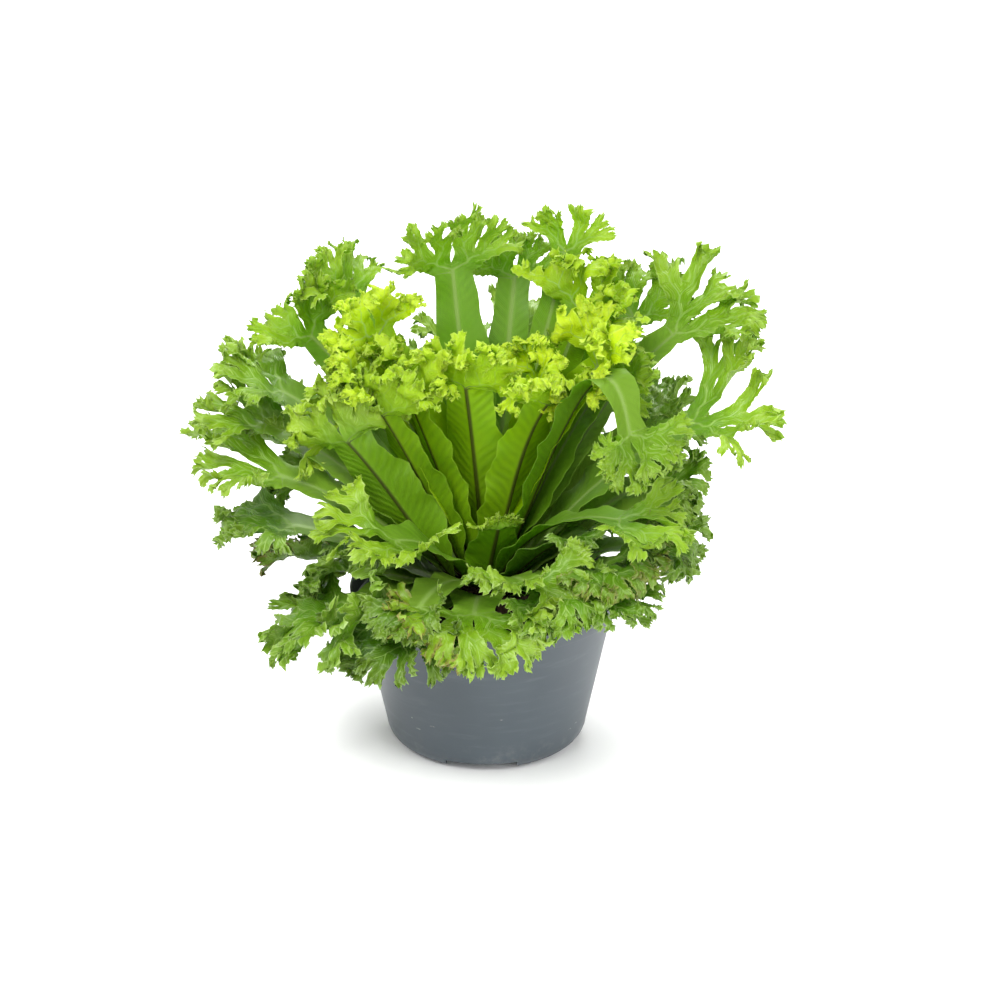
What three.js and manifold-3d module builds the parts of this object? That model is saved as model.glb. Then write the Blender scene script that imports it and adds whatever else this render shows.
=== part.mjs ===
// A crested bird's nest fern in a round nursery pot. Millimetres, +Z up, standing on z = 0.
import * as THREE from 'three';
import { mergeVertices } from 'three/addons/utils/BufferGeometryUtils.js';
import Module from 'manifold-3d';

const wasm = await Module();
wasm.setup();

// Pot
const potHeight = 119;
const rimRadius = 100;
const collarHeight = 12.5;
const collarStep = 6;
const wall = 2;
const lipTaper = 1.5;
const underCollarRadius = 93.5;
const baseRadius = 74;
const baseRound = 14;
const footHeight = 8;
const footInner = 50;
const footTaper = 2;
const floorThickness = 2.5;
const footGap = 52;
const footGapAngles = [-93, -3, 87, 177];
const drainRadius = 6;
const drainCircle = 36;
const drainCount = 6;
const drainSides = 8;
const potSides = 28;

// Soil and crown
const clearance = 0.3;
const soilLevel = 103;
const soilMound = 3;
const crumbHeight = 1.6;
const crumbPace = 0.2;
const crownRadius = 34;
const crownFoot = 86;
const crownTop = 138;
const crownSides = 10;
const crownRings = [0.95, 0.78, 0.5];
const crownRibs = 0.1;

// What all fronds share
const stalkWidth = 5;
const stalkSunk = 5;
const rootPitch = 7.6;
const rootRing = 30;
const rootRounds = 120;
const risingShare = 0.4;
const endingShare = 0.36;
const bladeThickness = 1.1;
const ribThickness = 1.5;
const ribTaper = 0.35;
const channelSlope = 0.2;
const rollFrom = 0.05;
const rollTo = 0.35;
const forkWaist = 0.26;
const waistFrom = 0.65;
const strapSteps = [0, 0.12, 0.32, 0.66];
const strapOpen = 0.42;
const forkAt = [0.2, 0.45, 0.7];
const notchHalf = [0.13, 0.07, 0.035];
const lobeRound = 0.07;
const lobeUneven = 0.22;
const ruffleHeight = 0.13;
const ruffleShift = 0.6;
const cupMost = 0.3;
const cupLeast = -0.18;
const tiny = 1e-6;

// Each frond: direction and reach of its crest's tip from the pot's axis, height of that tip, lean of
// the stalk and of the tip from the upright, blade width, crest length, half the crest's spread, how
// far round the stalk sets off, how far the blade is turned about its midrib, how high it arches (1 is
// plain) and how many times the crest forks. Angles are in degrees.
const fronds = [
  { name: 'back_centre', az: 114, reach: 70, rise: 390, lean: 11, droop: 10, width: 42, crest: 52, spread: 36, swing: 0, roll: 0, arch: 1, forks: 3 },
  { name: 'back_left', az: 147, reach: 150, rise: 354, lean: 18, droop: 38, width: 36, crest: 52, spread: 40, swing: 0, roll: -18, arch: 1, forks: 3 },
  { name: 'back_slim', az: 76, reach: 99, rise: 358, lean: 20, droop: 26, width: 32, crest: 36, spread: 44, swing: 0, roll: 10, arch: 1, forks: 2 },
  { name: 'back_top', az: 47, reach: 94, rise: 388, lean: 15, droop: 15, width: 26, crest: 38, spread: 26, swing: 0, roll: 10, arch: 1, forks: 3 },
  { name: 'high_right', az: 22, reach: 102, rise: 366, lean: 15, droop: 32, width: 36, crest: 58, spread: 54, swing: 0, roll: 35, arch: 1, forks: 3 },
  { name: 'far_right', az: 12, reach: 200, rise: 333, lean: 26, droop: 72, width: 38, crest: 72, spread: 28, swing: 0, roll: 12, arch: 1, forks: 3 },
  { name: 'back_right', az: 34, reach: 165, rise: 332, lean: 24, droop: 50, width: 34, crest: 50, spread: 36, swing: 0, roll: 18, arch: 1, forks: 3 },
  { name: 'gold_right', az: 350, reach: 112, rise: 334, lean: 12, droop: 38, width: 36, crest: 54, spread: 56, swing: 0, roll: 38, arch: 1, forks: 3 },
  { name: 'upper_left', az: 163, reach: 166, rise: 330, lean: 20, droop: 45, width: 36, crest: 50, spread: 38, swing: 0, roll: -24, arch: 1, forks: 3 },
  { name: 'gold_back', az: 171, reach: 100, rise: 343, lean: 14, droop: 34, width: 34, crest: 44, spread: 46, swing: 0, roll: -40, arch: 1, forks: 2 },
  { name: 'gold_left', az: 192, reach: 116, rise: 316, lean: 18, droop: 52, width: 38, crest: 44, spread: 50, swing: 0, roll: -40, arch: 1, forks: 3 },
  { name: 'curl_left', az: 204, reach: 80, rise: 322, lean: 18, droop: 24, width: 42, crest: 44, spread: 54, swing: 0, roll: 14, arch: 1, forks: 3 },
  { name: 'curl_centre', az: 245, reach: 44, rise: 324, lean: 9, droop: 16, width: 46, crest: 44, spread: 52, swing: 0, roll: 0, arch: 1, forks: 3 },
  { name: 'gold_centre', az: 350, reach: 48, rise: 314, lean: 5, droop: 16, width: 36, crest: 40, spread: 54, swing: 0, roll: 20, arch: 1, forks: 3 },
  { name: 'curl_right', az: 318, reach: 84, rise: 302, lean: 17, droop: 50, width: 42, crest: 40, spread: 46, swing: 0, roll: -18, arch: 1, forks: 3 },
  { name: 'curl_low', az: 206, reach: 104, rise: 300, lean: 25, droop: 36, width: 40, crest: 44, spread: 56, swing: 0, roll: 22, arch: 1, forks: 2 },
  { name: 'broad_left', az: 196, reach: 136, rise: 276, lean: 36, droop: 50, width: 50, crest: 50, spread: 48, swing: 0, roll: 52, arch: 1, forks: 3 },
  { name: 'left_high', az: 175, reach: 200, rise: 290, lean: 31, droop: 68, width: 40, crest: 62, spread: 28, swing: 0, roll: -12, arch: 1, forks: 3 },
  { name: 'left_far', az: 178, reach: 213, rise: 262, lean: 41, droop: 76, width: 36, crest: 60, spread: 22, swing: 0, roll: -20, arch: 1, forks: 3 },
  { name: 'left_fingers', az: 187, reach: 214, rise: 220, lean: 51, droop: 94, width: 40, crest: 70, spread: 26, swing: 0, roll: -16, arch: 1, forks: 3 },
  { name: 'left_low', az: 190, reach: 204, rise: 172, lean: 58, droop: 108, width: 42, crest: 66, spread: 30, swing: 0, roll: -8, arch: 1, forks: 3 },
  { name: 'left_pale', az: 184, reach: 116, rise: 292, lean: 22, droop: 44, width: 30, crest: 44, spread: 50, swing: 0, roll: -20, arch: 1, forks: 2 },
  { name: 'right_pale', az: 8, reach: 112, rise: 309, lean: 21, droop: 36, width: 42, crest: 54, spread: 48, swing: 0, roll: 20, arch: 1, forks: 2 },
  { name: 'right_far', az: 356, reach: 218, rise: 278, lean: 33, droop: 72, width: 38, crest: 80, spread: 31, swing: 0, roll: 14, arch: 1, forks: 3 },
  { name: 'right_curl', az: 19, reach: 148, rise: 244, lean: 38, droop: 62, width: 32, crest: 44, spread: 50, swing: 0, roll: 30, arch: 1, forks: 2 },
  { name: 'right_fork', az: 322, reach: 132, rise: 226, lean: 20, droop: 172, width: 38, crest: 42, spread: 54, swing: 26, roll: 0, arch: 2.7, forks: 3 },
  { name: 'right_mid', az: 10, reach: 166, rise: 200, lean: 47, droop: 88, width: 32, crest: 46, spread: 48, swing: 0, roll: 20, arch: 1, forks: 2 },
  { name: 'right_light', az: 326, reach: 166, rise: 188, lean: 26, droop: 112, width: 36, crest: 54, spread: 52, swing: -10, roll: 0, arch: 1.1, forks: 3 },
  { name: 'right_small', az: 353, reach: 154, rise: 196, lean: 49, droop: 88, width: 30, crest: 42, spread: 46, swing: 0, roll: 15, arch: 1, forks: 2 },
  { name: 'right_low', az: 343, reach: 168, rise: 162, lean: 58, droop: 108, width: 36, crest: 56, spread: 52, swing: 0, roll: 0, arch: 1, forks: 3 },
  { name: 'right_under', az: 318, reach: 156, rise: 160, lean: 61, droop: 126, width: 36, crest: 50, spread: 48, swing: 0, roll: 0, arch: 1, forks: 2 },
  { name: 'right_dark', az: 320, reach: 112, rise: 180, lean: 42, droop: 100, width: 50, crest: 30, spread: 34, swing: 0, roll: 0, arch: 1, forks: 2 },
  { name: 'front_light', az: 224, reach: 142, rise: 168, lean: 32, droop: 118, width: 46, crest: 60, spread: 54, swing: -10, roll: -12, arch: 1.1, forks: 3 },
  { name: 'front_fan', az: 212, reach: 166, rise: 84, lean: 60, droop: 150, width: 44, crest: 76, spread: 58, swing: 0, roll: 0, arch: 1, forks: 3 },
  { name: 'front_left', az: 240, reach: 153, rise: 92, lean: 62, droop: 158, width: 36, crest: 60, spread: 42, swing: 0, roll: 0, arch: 1, forks: 3 },
  { name: 'front_centre', az: 266, reach: 158, rise: 114, lean: 58, droop: 150, width: 38, crest: 64, spread: 46, swing: 0, roll: 0, arch: 1, forks: 3 },
  { name: 'front_parsley', az: 281, reach: 130, rise: 158, lean: 52, droop: 140, width: 30, crest: 44, spread: 62, swing: 0, roll: 0, arch: 1, forks: 3 },
  { name: 'front_right', az: 294, reach: 150, rise: 132, lean: 54, droop: 142, width: 36, crest: 50, spread: 38, swing: 0, roll: 0, arch: 1, forks: 3 },
  { name: 'front_tuft', az: 312, reach: 156, rise: 134, lean: 66, droop: 142, width: 30, crest: 38, spread: 36, swing: 0, roll: 0, arch: 1, forks: 2 },
  { name: 'lip', az: 282, reach: 46, rise: 190, lean: 22, droop: 22, width: 36, crest: 22, spread: 26, swing: 0, roll: 0, arch: 1, forks: 2 },
  { name: 'front_small', az: 248, reach: 152, rise: 132, lean: 54, droop: 140, width: 32, crest: 38, spread: 44, swing: 0, roll: 0, arch: 1, forks: 2 },
  { name: 'left_under', az: 199, reach: 144, rise: 146, lean: 63, droop: 122, width: 36, crest: 54, spread: 50, swing: 0, roll: 0, arch: 1, forks: 2 },
  { name: 'rear_right', az: 57, reach: 180, rise: 262, lean: 38, droop: 72, width: 36, crest: 60, spread: 50, swing: 0, roll: 0, arch: 1, forks: 2 },
  { name: 'rear_centre', az: 88, reach: 160, rise: 282, lean: 31, droop: 64, width: 42, crest: 60, spread: 52, swing: 0, roll: 0, arch: 1, forks: 2 },
  { name: 'rear_left', az: 124, reach: 180, rise: 245, lean: 40, droop: 80, width: 36, crest: 60, spread: 50, swing: 0, roll: 0, arch: 1, forks: 2 },
  { name: 'rear_low_left', az: 150, reach: 180, rise: 178, lean: 52, droop: 104, width: 36, crest: 58, spread: 52, swing: 0, roll: 0, arch: 1, forks: 2 },
  { name: 'rear_low', az: 100, reach: 160, rise: 160, lean: 56, droop: 110, width: 36, crest: 58, spread: 52, swing: 0, roll: 0, arch: 1, forks: 2 },
  { name: 'rear_low_right', az: 45, reach: 178, rise: 170, lean: 54, droop: 106, width: 36, crest: 58, spread: 52, swing: 0, roll: 0, arch: 1, forks: 2 },
  { name: 'rear_base_left', az: 126, reach: 154, rise: 122, lean: 62, droop: 126, width: 38, crest: 56, spread: 52, swing: 0, roll: 0, arch: 1, forks: 2 },
  { name: 'rear_base_right', az: 72, reach: 156, rise: 118, lean: 62, droop: 128, width: 38, crest: 56, spread: 52, swing: 0, roll: 0, arch: 1, forks: 2 },
  { name: 'left_base', az: 174, reach: 165, rise: 118, lean: 65, droop: 128, width: 38, crest: 56, spread: 50, swing: 0, roll: 0, arch: 1, forks: 2 },
  { name: 'right_base', az: 14, reach: 160, rise: 120, lean: 64, droop: 126, width: 38, crest: 56, spread: 50, swing: 0, roll: 0, arch: 1, forks: 2 },
  { name: 'rear_mid_left', az: 160, reach: 186, rise: 232, lean: 43, droop: 84, width: 42, crest: 60, spread: 46, swing: 0, roll: 0, arch: 1, forks: 2 },
  { name: 'rear_mid_right', az: 29, reach: 182, rise: 226, lean: 44, droop: 86, width: 42, crest: 58, spread: 46, swing: 0, roll: 0, arch: 1, forks: 2 },
];

const leastOverlap = 1e-3;
const mergeDistance = 1e-3;

const potColor = 0x5d6672;
const soilColor = 0x2c211a;
const crownColor = 0x3a2a1c;
const youngColor = 0x8fb81e;
const grownColor = 0x4c8a24;

const radians = THREE.MathUtils.degToRad;
const smooth = (from, to, value) => THREE.MathUtils.smoothstep(value, from, to);

// A fixed value between 0 and 1 for each seed and use.
function chance(seed, use) {
  const raw = Math.sin(seed * 12.9898 + use * 78.233) * 43758.5453;
  return raw - Math.floor(raw);
}

function solidOf(positions, triangles) {
  const mesh = new wasm.Mesh({
    numProp: 3,
    vertProperties: Float32Array.from(positions),
    triVerts: Uint32Array.from(triangles),
  });
  return new wasm.Manifold(mesh);
}

function solidOfGeometry(geometry) {
  geometry.deleteAttribute('normal');
  geometry.deleteAttribute('uv');
  const merged = mergeVertices(geometry, mergeDistance);
  const index = merged.index.array;
  const triangles = [];
  for (let i = 0; i < index.length; i += 3) {
    const [a, b, c] = [index[i], index[i + 1], index[i + 2]];
    if (a !== b && b !== c && c !== a) triangles.push(a, b, c);
  }
  return solidOf(merged.attributes.position.array, triangles);
}

function meshOf(solid, name, color, roughness) {
  const data = solid.getMesh();
  const geometry = new THREE.BufferGeometry();
  geometry.setAttribute('position', new THREE.BufferAttribute(data.vertProperties, data.numProp));
  geometry.setIndex(new THREE.BufferAttribute(data.triVerts, 1));
  geometry.computeVertexNormals();
  const material = new THREE.MeshStandardMaterial({ color, roughness, metalness: 0 });
  const mesh = new THREE.Mesh(geometry, material);
  mesh.name = name;
  return mesh;
}

// Turns a profile of [radius, height] points, counter-clockwise, about the z axis.
function turned(profile, sides) {
  const points = profile.map(([r, z]) => new THREE.Vector2(r, z));
  return new THREE.LatheGeometry(points, sides).rotateX(Math.PI / 2);
}

function arcPoints(centreRadius, centreHeight, radius, fromDeg, toDeg, steps) {
  const points = [];
  for (let i = 0; i <= steps; i += 1) {
    const angle = radians(fromDeg + (toDeg - fromDeg) * i / steps);
    points.push([centreRadius + radius * Math.cos(angle), centreHeight + radius * Math.sin(angle)]);
  }
  return points;
}

const collarFoot = potHeight - collarHeight;
const wallSlope = (underCollarRadius - baseRadius) / (collarFoot - baseRound);
const innerRadius = (z) => baseRadius - wall + wallSlope * (z - baseRound);
const floorTop = footHeight + floorThickness;
const floorRadius = baseRadius - baseRound + Math.sqrt((baseRound - wall) ** 2 - (baseRound - floorTop) ** 2);

// The pot's wall, floor and collar as one turned shape, with recesses under the foot and drain holes.
function makePot() {
  const profile = [
    [0, footHeight],
    [footInner, footHeight],
    [footInner + footTaper, 0],
    ...arcPoints(baseRadius - baseRound, baseRound, baseRound, -90, 0, 3),
    [underCollarRadius, collarFoot],
    [underCollarRadius + collarStep - lipTaper, collarFoot],
    [rimRadius, potHeight],
    [rimRadius - wall, potHeight],
    [innerRadius(collarFoot), collarFoot - wall],
    [innerRadius(baseRound), baseRound],
    [floorRadius, floorTop],
    [0, floorTop],
  ];
  let pot = solidOfGeometry(turned(profile, potSides));
  for (const angle of footGapAngles) {
    const gap = new THREE.BoxGeometry(baseRadius, footGap, 2 * footHeight);
    gap.translate(footInner + baseRadius / 2, 0, 0);
    gap.rotateZ(radians(angle));
    pot = pot.subtract(solidOfGeometry(gap));
  }
  for (let i = 0; i < drainCount; i += 1) {
    const hole = new THREE.CylinderGeometry(drainRadius, drainRadius, 4 * floorTop, drainSides);
    hole.rotateX(Math.PI / 2);
    hole.translate(drainCircle, 0, 0);
    hole.rotateZ(2 * Math.PI * i / drainCount);
    pot = pot.subtract(solidOfGeometry(hole));
  }
  return pot;
}

// Soil fills the pot up to below the rim and leaves a round hole for the crown.
function makeSoil() {
  const edge = (z) => innerRadius(z) - clearance;
  const hole = crownRadius + clearance;
  const profile = [
    [0, floorTop + clearance],
    [floorRadius - clearance, floorTop + clearance],
    [edge(baseRound), baseRound],
    [edge(soilLevel), soilLevel],
    [(crownRadius + edge(soilLevel)) / 2, soilLevel + soilMound],
    [hole, soilLevel + soilMound],
    [hole, crownFoot - clearance],
    [0, crownFoot - clearance],
  ];
  const geometry = turned(profile, potSides);
  const position = geometry.attributes.position;
  for (let i = 0; i < position.count; i += 1) {
    const x = position.getX(i);
    const y = position.getY(i);
    const z = position.getZ(i);
    const onTop = Math.hypot(x, y) > hole + 1 && z > soilLevel + 1;
    if (onTop) position.setZ(i, z + crumbHeight * Math.sin(x * crumbPace) * Math.cos(y * crumbPace));
  }
  return solidOfGeometry(geometry);
}

const domeHeight = (r) => soilLevel + (crownTop - soilLevel) * Math.sqrt(Math.max(0, 1 - (r / crownRadius) ** 2));

// The crown is a scaly dome whose rows of old stalk bases stand proud.
function makeCrown() {
  const profile = [[0, crownFoot], [crownRadius - 2, crownFoot], [crownRadius - 0.5, soilLevel]];
  for (const share of crownRings) {
    profile.push([crownRadius * share, domeHeight(crownRadius * share)]);
  }
  profile.push([0, crownTop]);
  const geometry = turned(profile, crownSides);
  const position = geometry.attributes.position;
  for (let i = 0; i < position.count; i += 1) {
    const x = position.getX(i);
    const y = position.getY(i);
    const z = position.getZ(i);
    const r = Math.hypot(x, y);
    if (r < 1 || z < soilLevel) continue;
    const inset = 1 - crownRibs * (1 + Math.cos(Math.atan2(y, x) * crownSides / 2)) / 2;
    position.setXYZ(i, x * inset, y * inset, z);
  }
  return solidOfGeometry(geometry);
}

// Stalks start on the crown, the upright ones innermost, nudged apart until none crowds its neighbour.
function placeRoots() {
  const order = [...fronds].sort((a, b) => a.lean - b.lean);
  order.forEach((frond, rank) => {
    const r = rootRing * Math.sqrt((rank + 0.5) / order.length);
    frond.root = new THREE.Vector2(r, 0).rotateAround(new THREE.Vector2(), radians(frond.az + frond.swing));
  });
  for (let round = 0; round < rootRounds; round += 1) {
    for (let i = 0; i < order.length; i += 1) {
      for (let j = 0; j < i; j += 1) {
        const apart = new THREE.Vector2().subVectors(order[i].root, order[j].root);
        const missing = rootPitch - apart.length();
        if (missing <= 0) continue;
        apart.setLength(missing / 2);
        order[i].root.add(apart);
        order[j].root.sub(apart);
      }
      if (order[i].root.length() > rootRing) order[i].root.setLength(rootRing);
    }
  }
}

// The frond's spine runs from inside the crown to the tip of its crest.
function spineOf(frond) {
  const az = radians(frond.az);
  frond.setsOff = radians(frond.az + frond.swing);
  frond.ends = radians(frond.az - frond.swing / 2);
  const heading = (deg, turn, length) => new THREE.Vector3(
    Math.sin(radians(deg)) * Math.cos(turn) * length,
    Math.sin(radians(deg)) * Math.sin(turn) * length,
    Math.cos(radians(deg)) * length,
  );
  const root = new THREE.Vector3(frond.root.x, frond.root.y, domeHeight(frond.root.length()));
  const tip = new THREE.Vector3(frond.reach * Math.cos(az), frond.reach * Math.sin(az), frond.rise);
  const span = tip.distanceTo(root) * frond.arch;
  const start = root.clone().sub(heading(frond.lean, frond.setsOff, stalkSunk));
  const rising = root.clone().add(heading(frond.lean, frond.setsOff, span * risingShare));
  const ending = tip.clone().sub(heading(frond.droop, frond.ends, span * endingShare));
  return new THREE.CubicBezierCurve3(start, rising, ending, tip);
}

// Where a line across the crest lies once the notches beside it have opened.
function spreadLine(line, side, rho, forks) {
  let order = 0;
  while (order < forks && rho > forkAt[order] + tiny) order += 1;
  if (order === 0) return 2 * line - 1;
  const lobes = 2 ** order;
  const lobe = Math.min(lobes - 1, Math.max(0, Math.floor(line * lobes + side * tiny)));
  const opening = (edge) => {
    if (edge <= 0 || edge >= lobes) return 0;
    let cut = order;
    let number = edge;
    while (number % 2 === 0) {
      number /= 2;
      cut -= 1;
    }
    const from = forkAt[cut - 1];
    return notchHalf[cut - 1] * (rho - from) / (1 - from);
  };
  const across = line * lobes - lobe;
  return 2 * line - 1 + opening(lobe) * (1 - across) - opening(lobe + 1) * across;
}

// Which fork parts a line of the crest: 1 for the first, or past the last where none does.
function lineOrder(line, forks) {
  for (let order = 1; order <= forks; order += 1) {
    const place = line * 2 ** order;
    if (Math.abs(place - Math.round(place)) < tiny) return order;
  }
  return forks + 1;
}

// The flat pattern of a frond: points across and along the blade, and the triangles between them.
function bladePattern(frond) {
  const points = [];
  const triangles = [];
  const strap = frond.length - frond.crest;
  const rows = strapSteps.map((share) => {
    const y = share * strap;
    const opened = smooth(strapSteps[1], strapOpen, share);
    const waist = 1 - forkWaist * smooth(waistFrom, 1, share);
    return { y, rho: -1, half: (stalkWidth + (frond.width - stalkWidth) * opened) * waist / 2, columns: 2 };
  });
  const forkHalf = frond.width * (1 - forkWaist) / 2;
  rows.push({ rho: 0, columns: 2 });
  for (let fork = 0; fork < frond.forks; fork += 1) rows.push({ rho: forkAt[fork], columns: 4 * 2 ** fork });
  rows.push({ rho: 1, columns: 2 * 2 ** frond.forks });
  const addPoint = (row, line, side) => {
    const across = 2 * line - 1;
    if (row.rho < 0) {
      points.push({ x: across * row.half, y: row.y, across, rho: 0, share: row.y / strap });
      return points.length - 1;
    }
    const t = spreadLine(line, side, row.rho, frond.forks);
    const lobe = line * 2 ** frond.forks;
    const middle = Math.abs(lobe - Math.floor(lobe + side * tiny) - 0.5) * 2;
    const last = Math.max(0, row.rho - forkAt[frond.forks - 1]) / (1 - forkAt[frond.forks - 1]);
    const uneven = 1 - lobeUneven * chance(frond.seed, 5 + Math.floor(lobe + side * tiny)) * row.rho;
    const length = frond.crest * uneven * (1 - lobeRound * middle * middle * last);
    const angle = t * radians(frond.spread);
    points.push({
      x: t * forkHalf + row.rho * length * Math.sin(angle),
      y: strap + row.rho * length * Math.cos(angle),
      across,
      rho: row.rho,
      share: 1,
    });
    return points.length - 1;
  };
  const lines = rows.map((row) => {
    const left = [];
    const right = [];
    for (let k = 0; k <= row.columns; k += 1) {
      const line = k / row.columns;
      const order = k === 0 || k === row.columns ? Infinity : lineOrder(line, frond.forks);
      const parted = row.rho > 0 && order <= frond.forks && row.rho > forkAt[order - 1] + tiny;
      const side = k === row.columns ? -1 : 1;
      right.push(addPoint(row, line, parted ? 1 : side));
      left.push(parted ? addPoint(row, line, -1) : right[k]);
    }
    return { left, right, columns: row.columns };
  });
  for (let i = 1; i < lines.length; i += 1) {
    const low = lines[i - 1];
    const high = lines[i];
    for (let k = 0; k < low.columns; k += 1) {
      const [a, b] = [low.right[k], low.left[k + 1]];
      if (high.columns === low.columns) {
        const [c, d] = [high.right[k], high.left[k + 1]];
        if (k % 2 === 0) triangles.push([a, b, d], [a, d, c]);
        else triangles.push([a, b, c], [b, d, c]);
      } else {
        const [c, m, d] = [high.right[2 * k], high.left[2 * k + 1], high.left[2 * k + 2]];
        triangles.push([a, m, c], [a, b, m], [b, d, m]);
      }
    }
  }
  return { points, triangles };
}

// Moves the pattern's outline outwards, so that the same frond can cut its neighbours with clearance.
function growOutline(points, edges, grow) {
  const push = new Map();
  for (const [a, b] of edges) {
    const along = new THREE.Vector2(points[b].x - points[a].x, points[b].y - points[a].y).normalize();
    for (const end of [a, b]) {
      if (!push.has(end)) push.set(end, []);
      push.get(end).push(new THREE.Vector2(along.y, -along.x));
    }
  }
  for (const [end, normals] of push) {
    const sum = new THREE.Vector2().addVectors(normals[0], normals[1] ?? normals[0]);
    const reach = Math.max(0.5, sum.length() / 2);
    sum.setLength(grow / reach);
    points[end].x += sum.x;
    points[end].y += sum.y;
  }
}

function boundaryOf(triangles) {
  const seen = new Set();
  for (const [a, b, c] of triangles) [[a, b], [b, c], [c, a]].forEach(([p, q]) => seen.add(`${p},${q}`));
  return [...seen].map((key) => key.split(',').map(Number)).filter(([p, q]) => !seen.has(`${q},${p}`));
}

// One frond as a closed solid: the pattern is bent along the spine, folded into a channel, ruffled
// toward the crest's margin and given its thickness, with the midrib standing out underneath.
function makeFrond(frond, thicker, wider) {
  const { points, triangles } = bladePattern(frond);
  const edges = boundaryOf(triangles);
  if (wider > 0) growOutline(points, edges, wider);
  const phase = ruffleShift * (2 * chance(frond.seed, 1) - 1);
  const cup = cupLeast + (cupMost - cupLeast) * chance(frond.seed, 2);
  const waves = 2 ** (frond.forks - 1);
  const middle = points.map((point) => {
    const u = THREE.MathUtils.clamp(point.y / frond.length, 0, 1);
    const along = frond.spine.getTangentAt(u);
    const turn = THREE.MathUtils.lerp(frond.setsOff, frond.ends, u);
    const acrossFlat = new THREE.Vector3(Math.sin(turn), -Math.cos(turn), 0);
    const up = new THREE.Vector3().crossVectors(acrossFlat, along).normalize();
    up.applyAxisAngle(along, radians(frond.roll) * smooth(rollFrom, rollTo, u));
    const across = new THREE.Vector3().crossVectors(along, up);
    const ruffle = ruffleHeight * frond.crest * point.rho ** 1.5;
    const height = channelSlope * Math.abs(point.x) * (1 - smooth(0, 0.8, point.rho))
      + ruffle * Math.sin(waves * Math.PI * (point.across + 1) + phase)
      + cup * point.rho * point.x * point.x / frond.crest;
    return frond.spine.getPointAt(u)
      .addScaledVector(along, point.y - u * frond.length)
      .addScaledVector(across, point.x)
      .addScaledVector(up, height);
  });
  const normals = middle.map(() => new THREE.Vector3());
  for (const [a, b, c] of triangles) {
    const toB = new THREE.Vector3().subVectors(middle[b], middle[a]);
    const toC = new THREE.Vector3().subVectors(middle[c], middle[a]);
    const normal = toB.cross(toC);
    for (const corner of [a, b, c]) normals[corner].add(normal);
  }
  const half = bladeThickness / 2 + thicker;
  const positions = [];
  points.forEach((point, i) => {
    const rib = Math.abs(point.across) < 0.01 ? ribThickness * (1 - ribTaper * point.share) : 0;
    const keel = rib * (1 - smooth(0, 0.3, point.rho));
    const normal = normals[i].normalize();
    positions.push(...middle[i].clone().addScaledVector(normal, half));
    positions.push(...middle[i].clone().addScaledVector(normal, -half - keel));
  });
  const faces = [];
  for (const [a, b, c] of triangles) faces.push(2 * a, 2 * b, 2 * c, 2 * a + 1, 2 * c + 1, 2 * b + 1);
  for (const [a, b] of edges) {
    faces.push(2 * b, 2 * a, 2 * a + 1);
    faces.push(2 * b, 2 * a + 1, 2 * b + 1);
  }
  return solidOf(positions, faces);
}

function largestBody(solid) {
  const bodies = solid.decompose();
  return bodies.reduce((best, body) => (body.volume() > best.volume() ? body : best));
}

function touches(a, b) {
  const [boxA, boxB] = [a.boundingBox(), b.boundingBox()];
  return [0, 1, 2].every((i) => boxA.min[i] < boxB.max[i] && boxB.min[i] < boxA.max[i]);
}

placeRoots();
fronds.forEach((frond, i) => {
  frond.seed = i + 1;
  frond.spine = spineOf(frond);
  frond.length = frond.spine.getLength();
  frond.solid = makeFrond(frond, 0, 0);
});

// Where two crests still meet, the later one in the list gives way to the earlier one.
for (let i = 1; i < fronds.length; i += 1) {
  for (let j = 0; j < i; j += 1) {
    if (!touches(fronds[i].solid, fronds[j].solid)) continue;
    for (const wider of [clearance, 0]) {
      if (fronds[i].solid.intersect(fronds[j].solid).volume() < leastOverlap) break;
      fronds[i].solid = largestBody(fronds[i].solid.subtract(makeFrond(fronds[j], clearance, wider)));
    }
  }
}

// The plain hole that a stalk stands in, a little wider than the stalk.
function makeSocket(frond) {
  const lean = radians(frond.lean);
  const fold = channelSlope * stalkWidth / 2;
  const thick = bladeThickness + ribThickness + fold + 3 * clearance;
  const deep = stalkSunk + clearance;
  const socket = new THREE.BoxGeometry(stalkWidth + 4 * clearance, thick, 3 * deep);
  socket.translate(0, (ribThickness - fold) / 2, deep / 2);
  socket.rotateX(-lean);
  socket.rotateZ(frond.setsOff - Math.PI / 2);
  socket.translate(frond.root.x, frond.root.y, domeHeight(frond.root.length()));
  return solidOfGeometry(socket);
}

const pot = makePot();
const soil = makeSoil();
let crown = makeCrown();
for (const frond of fronds) crown = crown.subtract(makeSocket(frond));
crown = largestBody(crown);

const fern = new THREE.Group();
fern.add(meshOf(pot, 'pot', potColor, 0.6));
fern.add(meshOf(soil, 'soil', soilColor, 1));
fern.add(meshOf(crown, 'crown', crownColor, 0.9));
for (const frond of fronds) {
  const age = smooth(10, 60, frond.lean);
  const color = new THREE.Color(youngColor).lerp(new THREE.Color(grownColor), age);
  fern.add(meshOf(frond.solid, `frond_${frond.name}`, color, 0.5));
}

export default fern;
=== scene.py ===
import bpy
import math
import random
import numpy as np
from mathutils import Matrix, Vector


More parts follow.
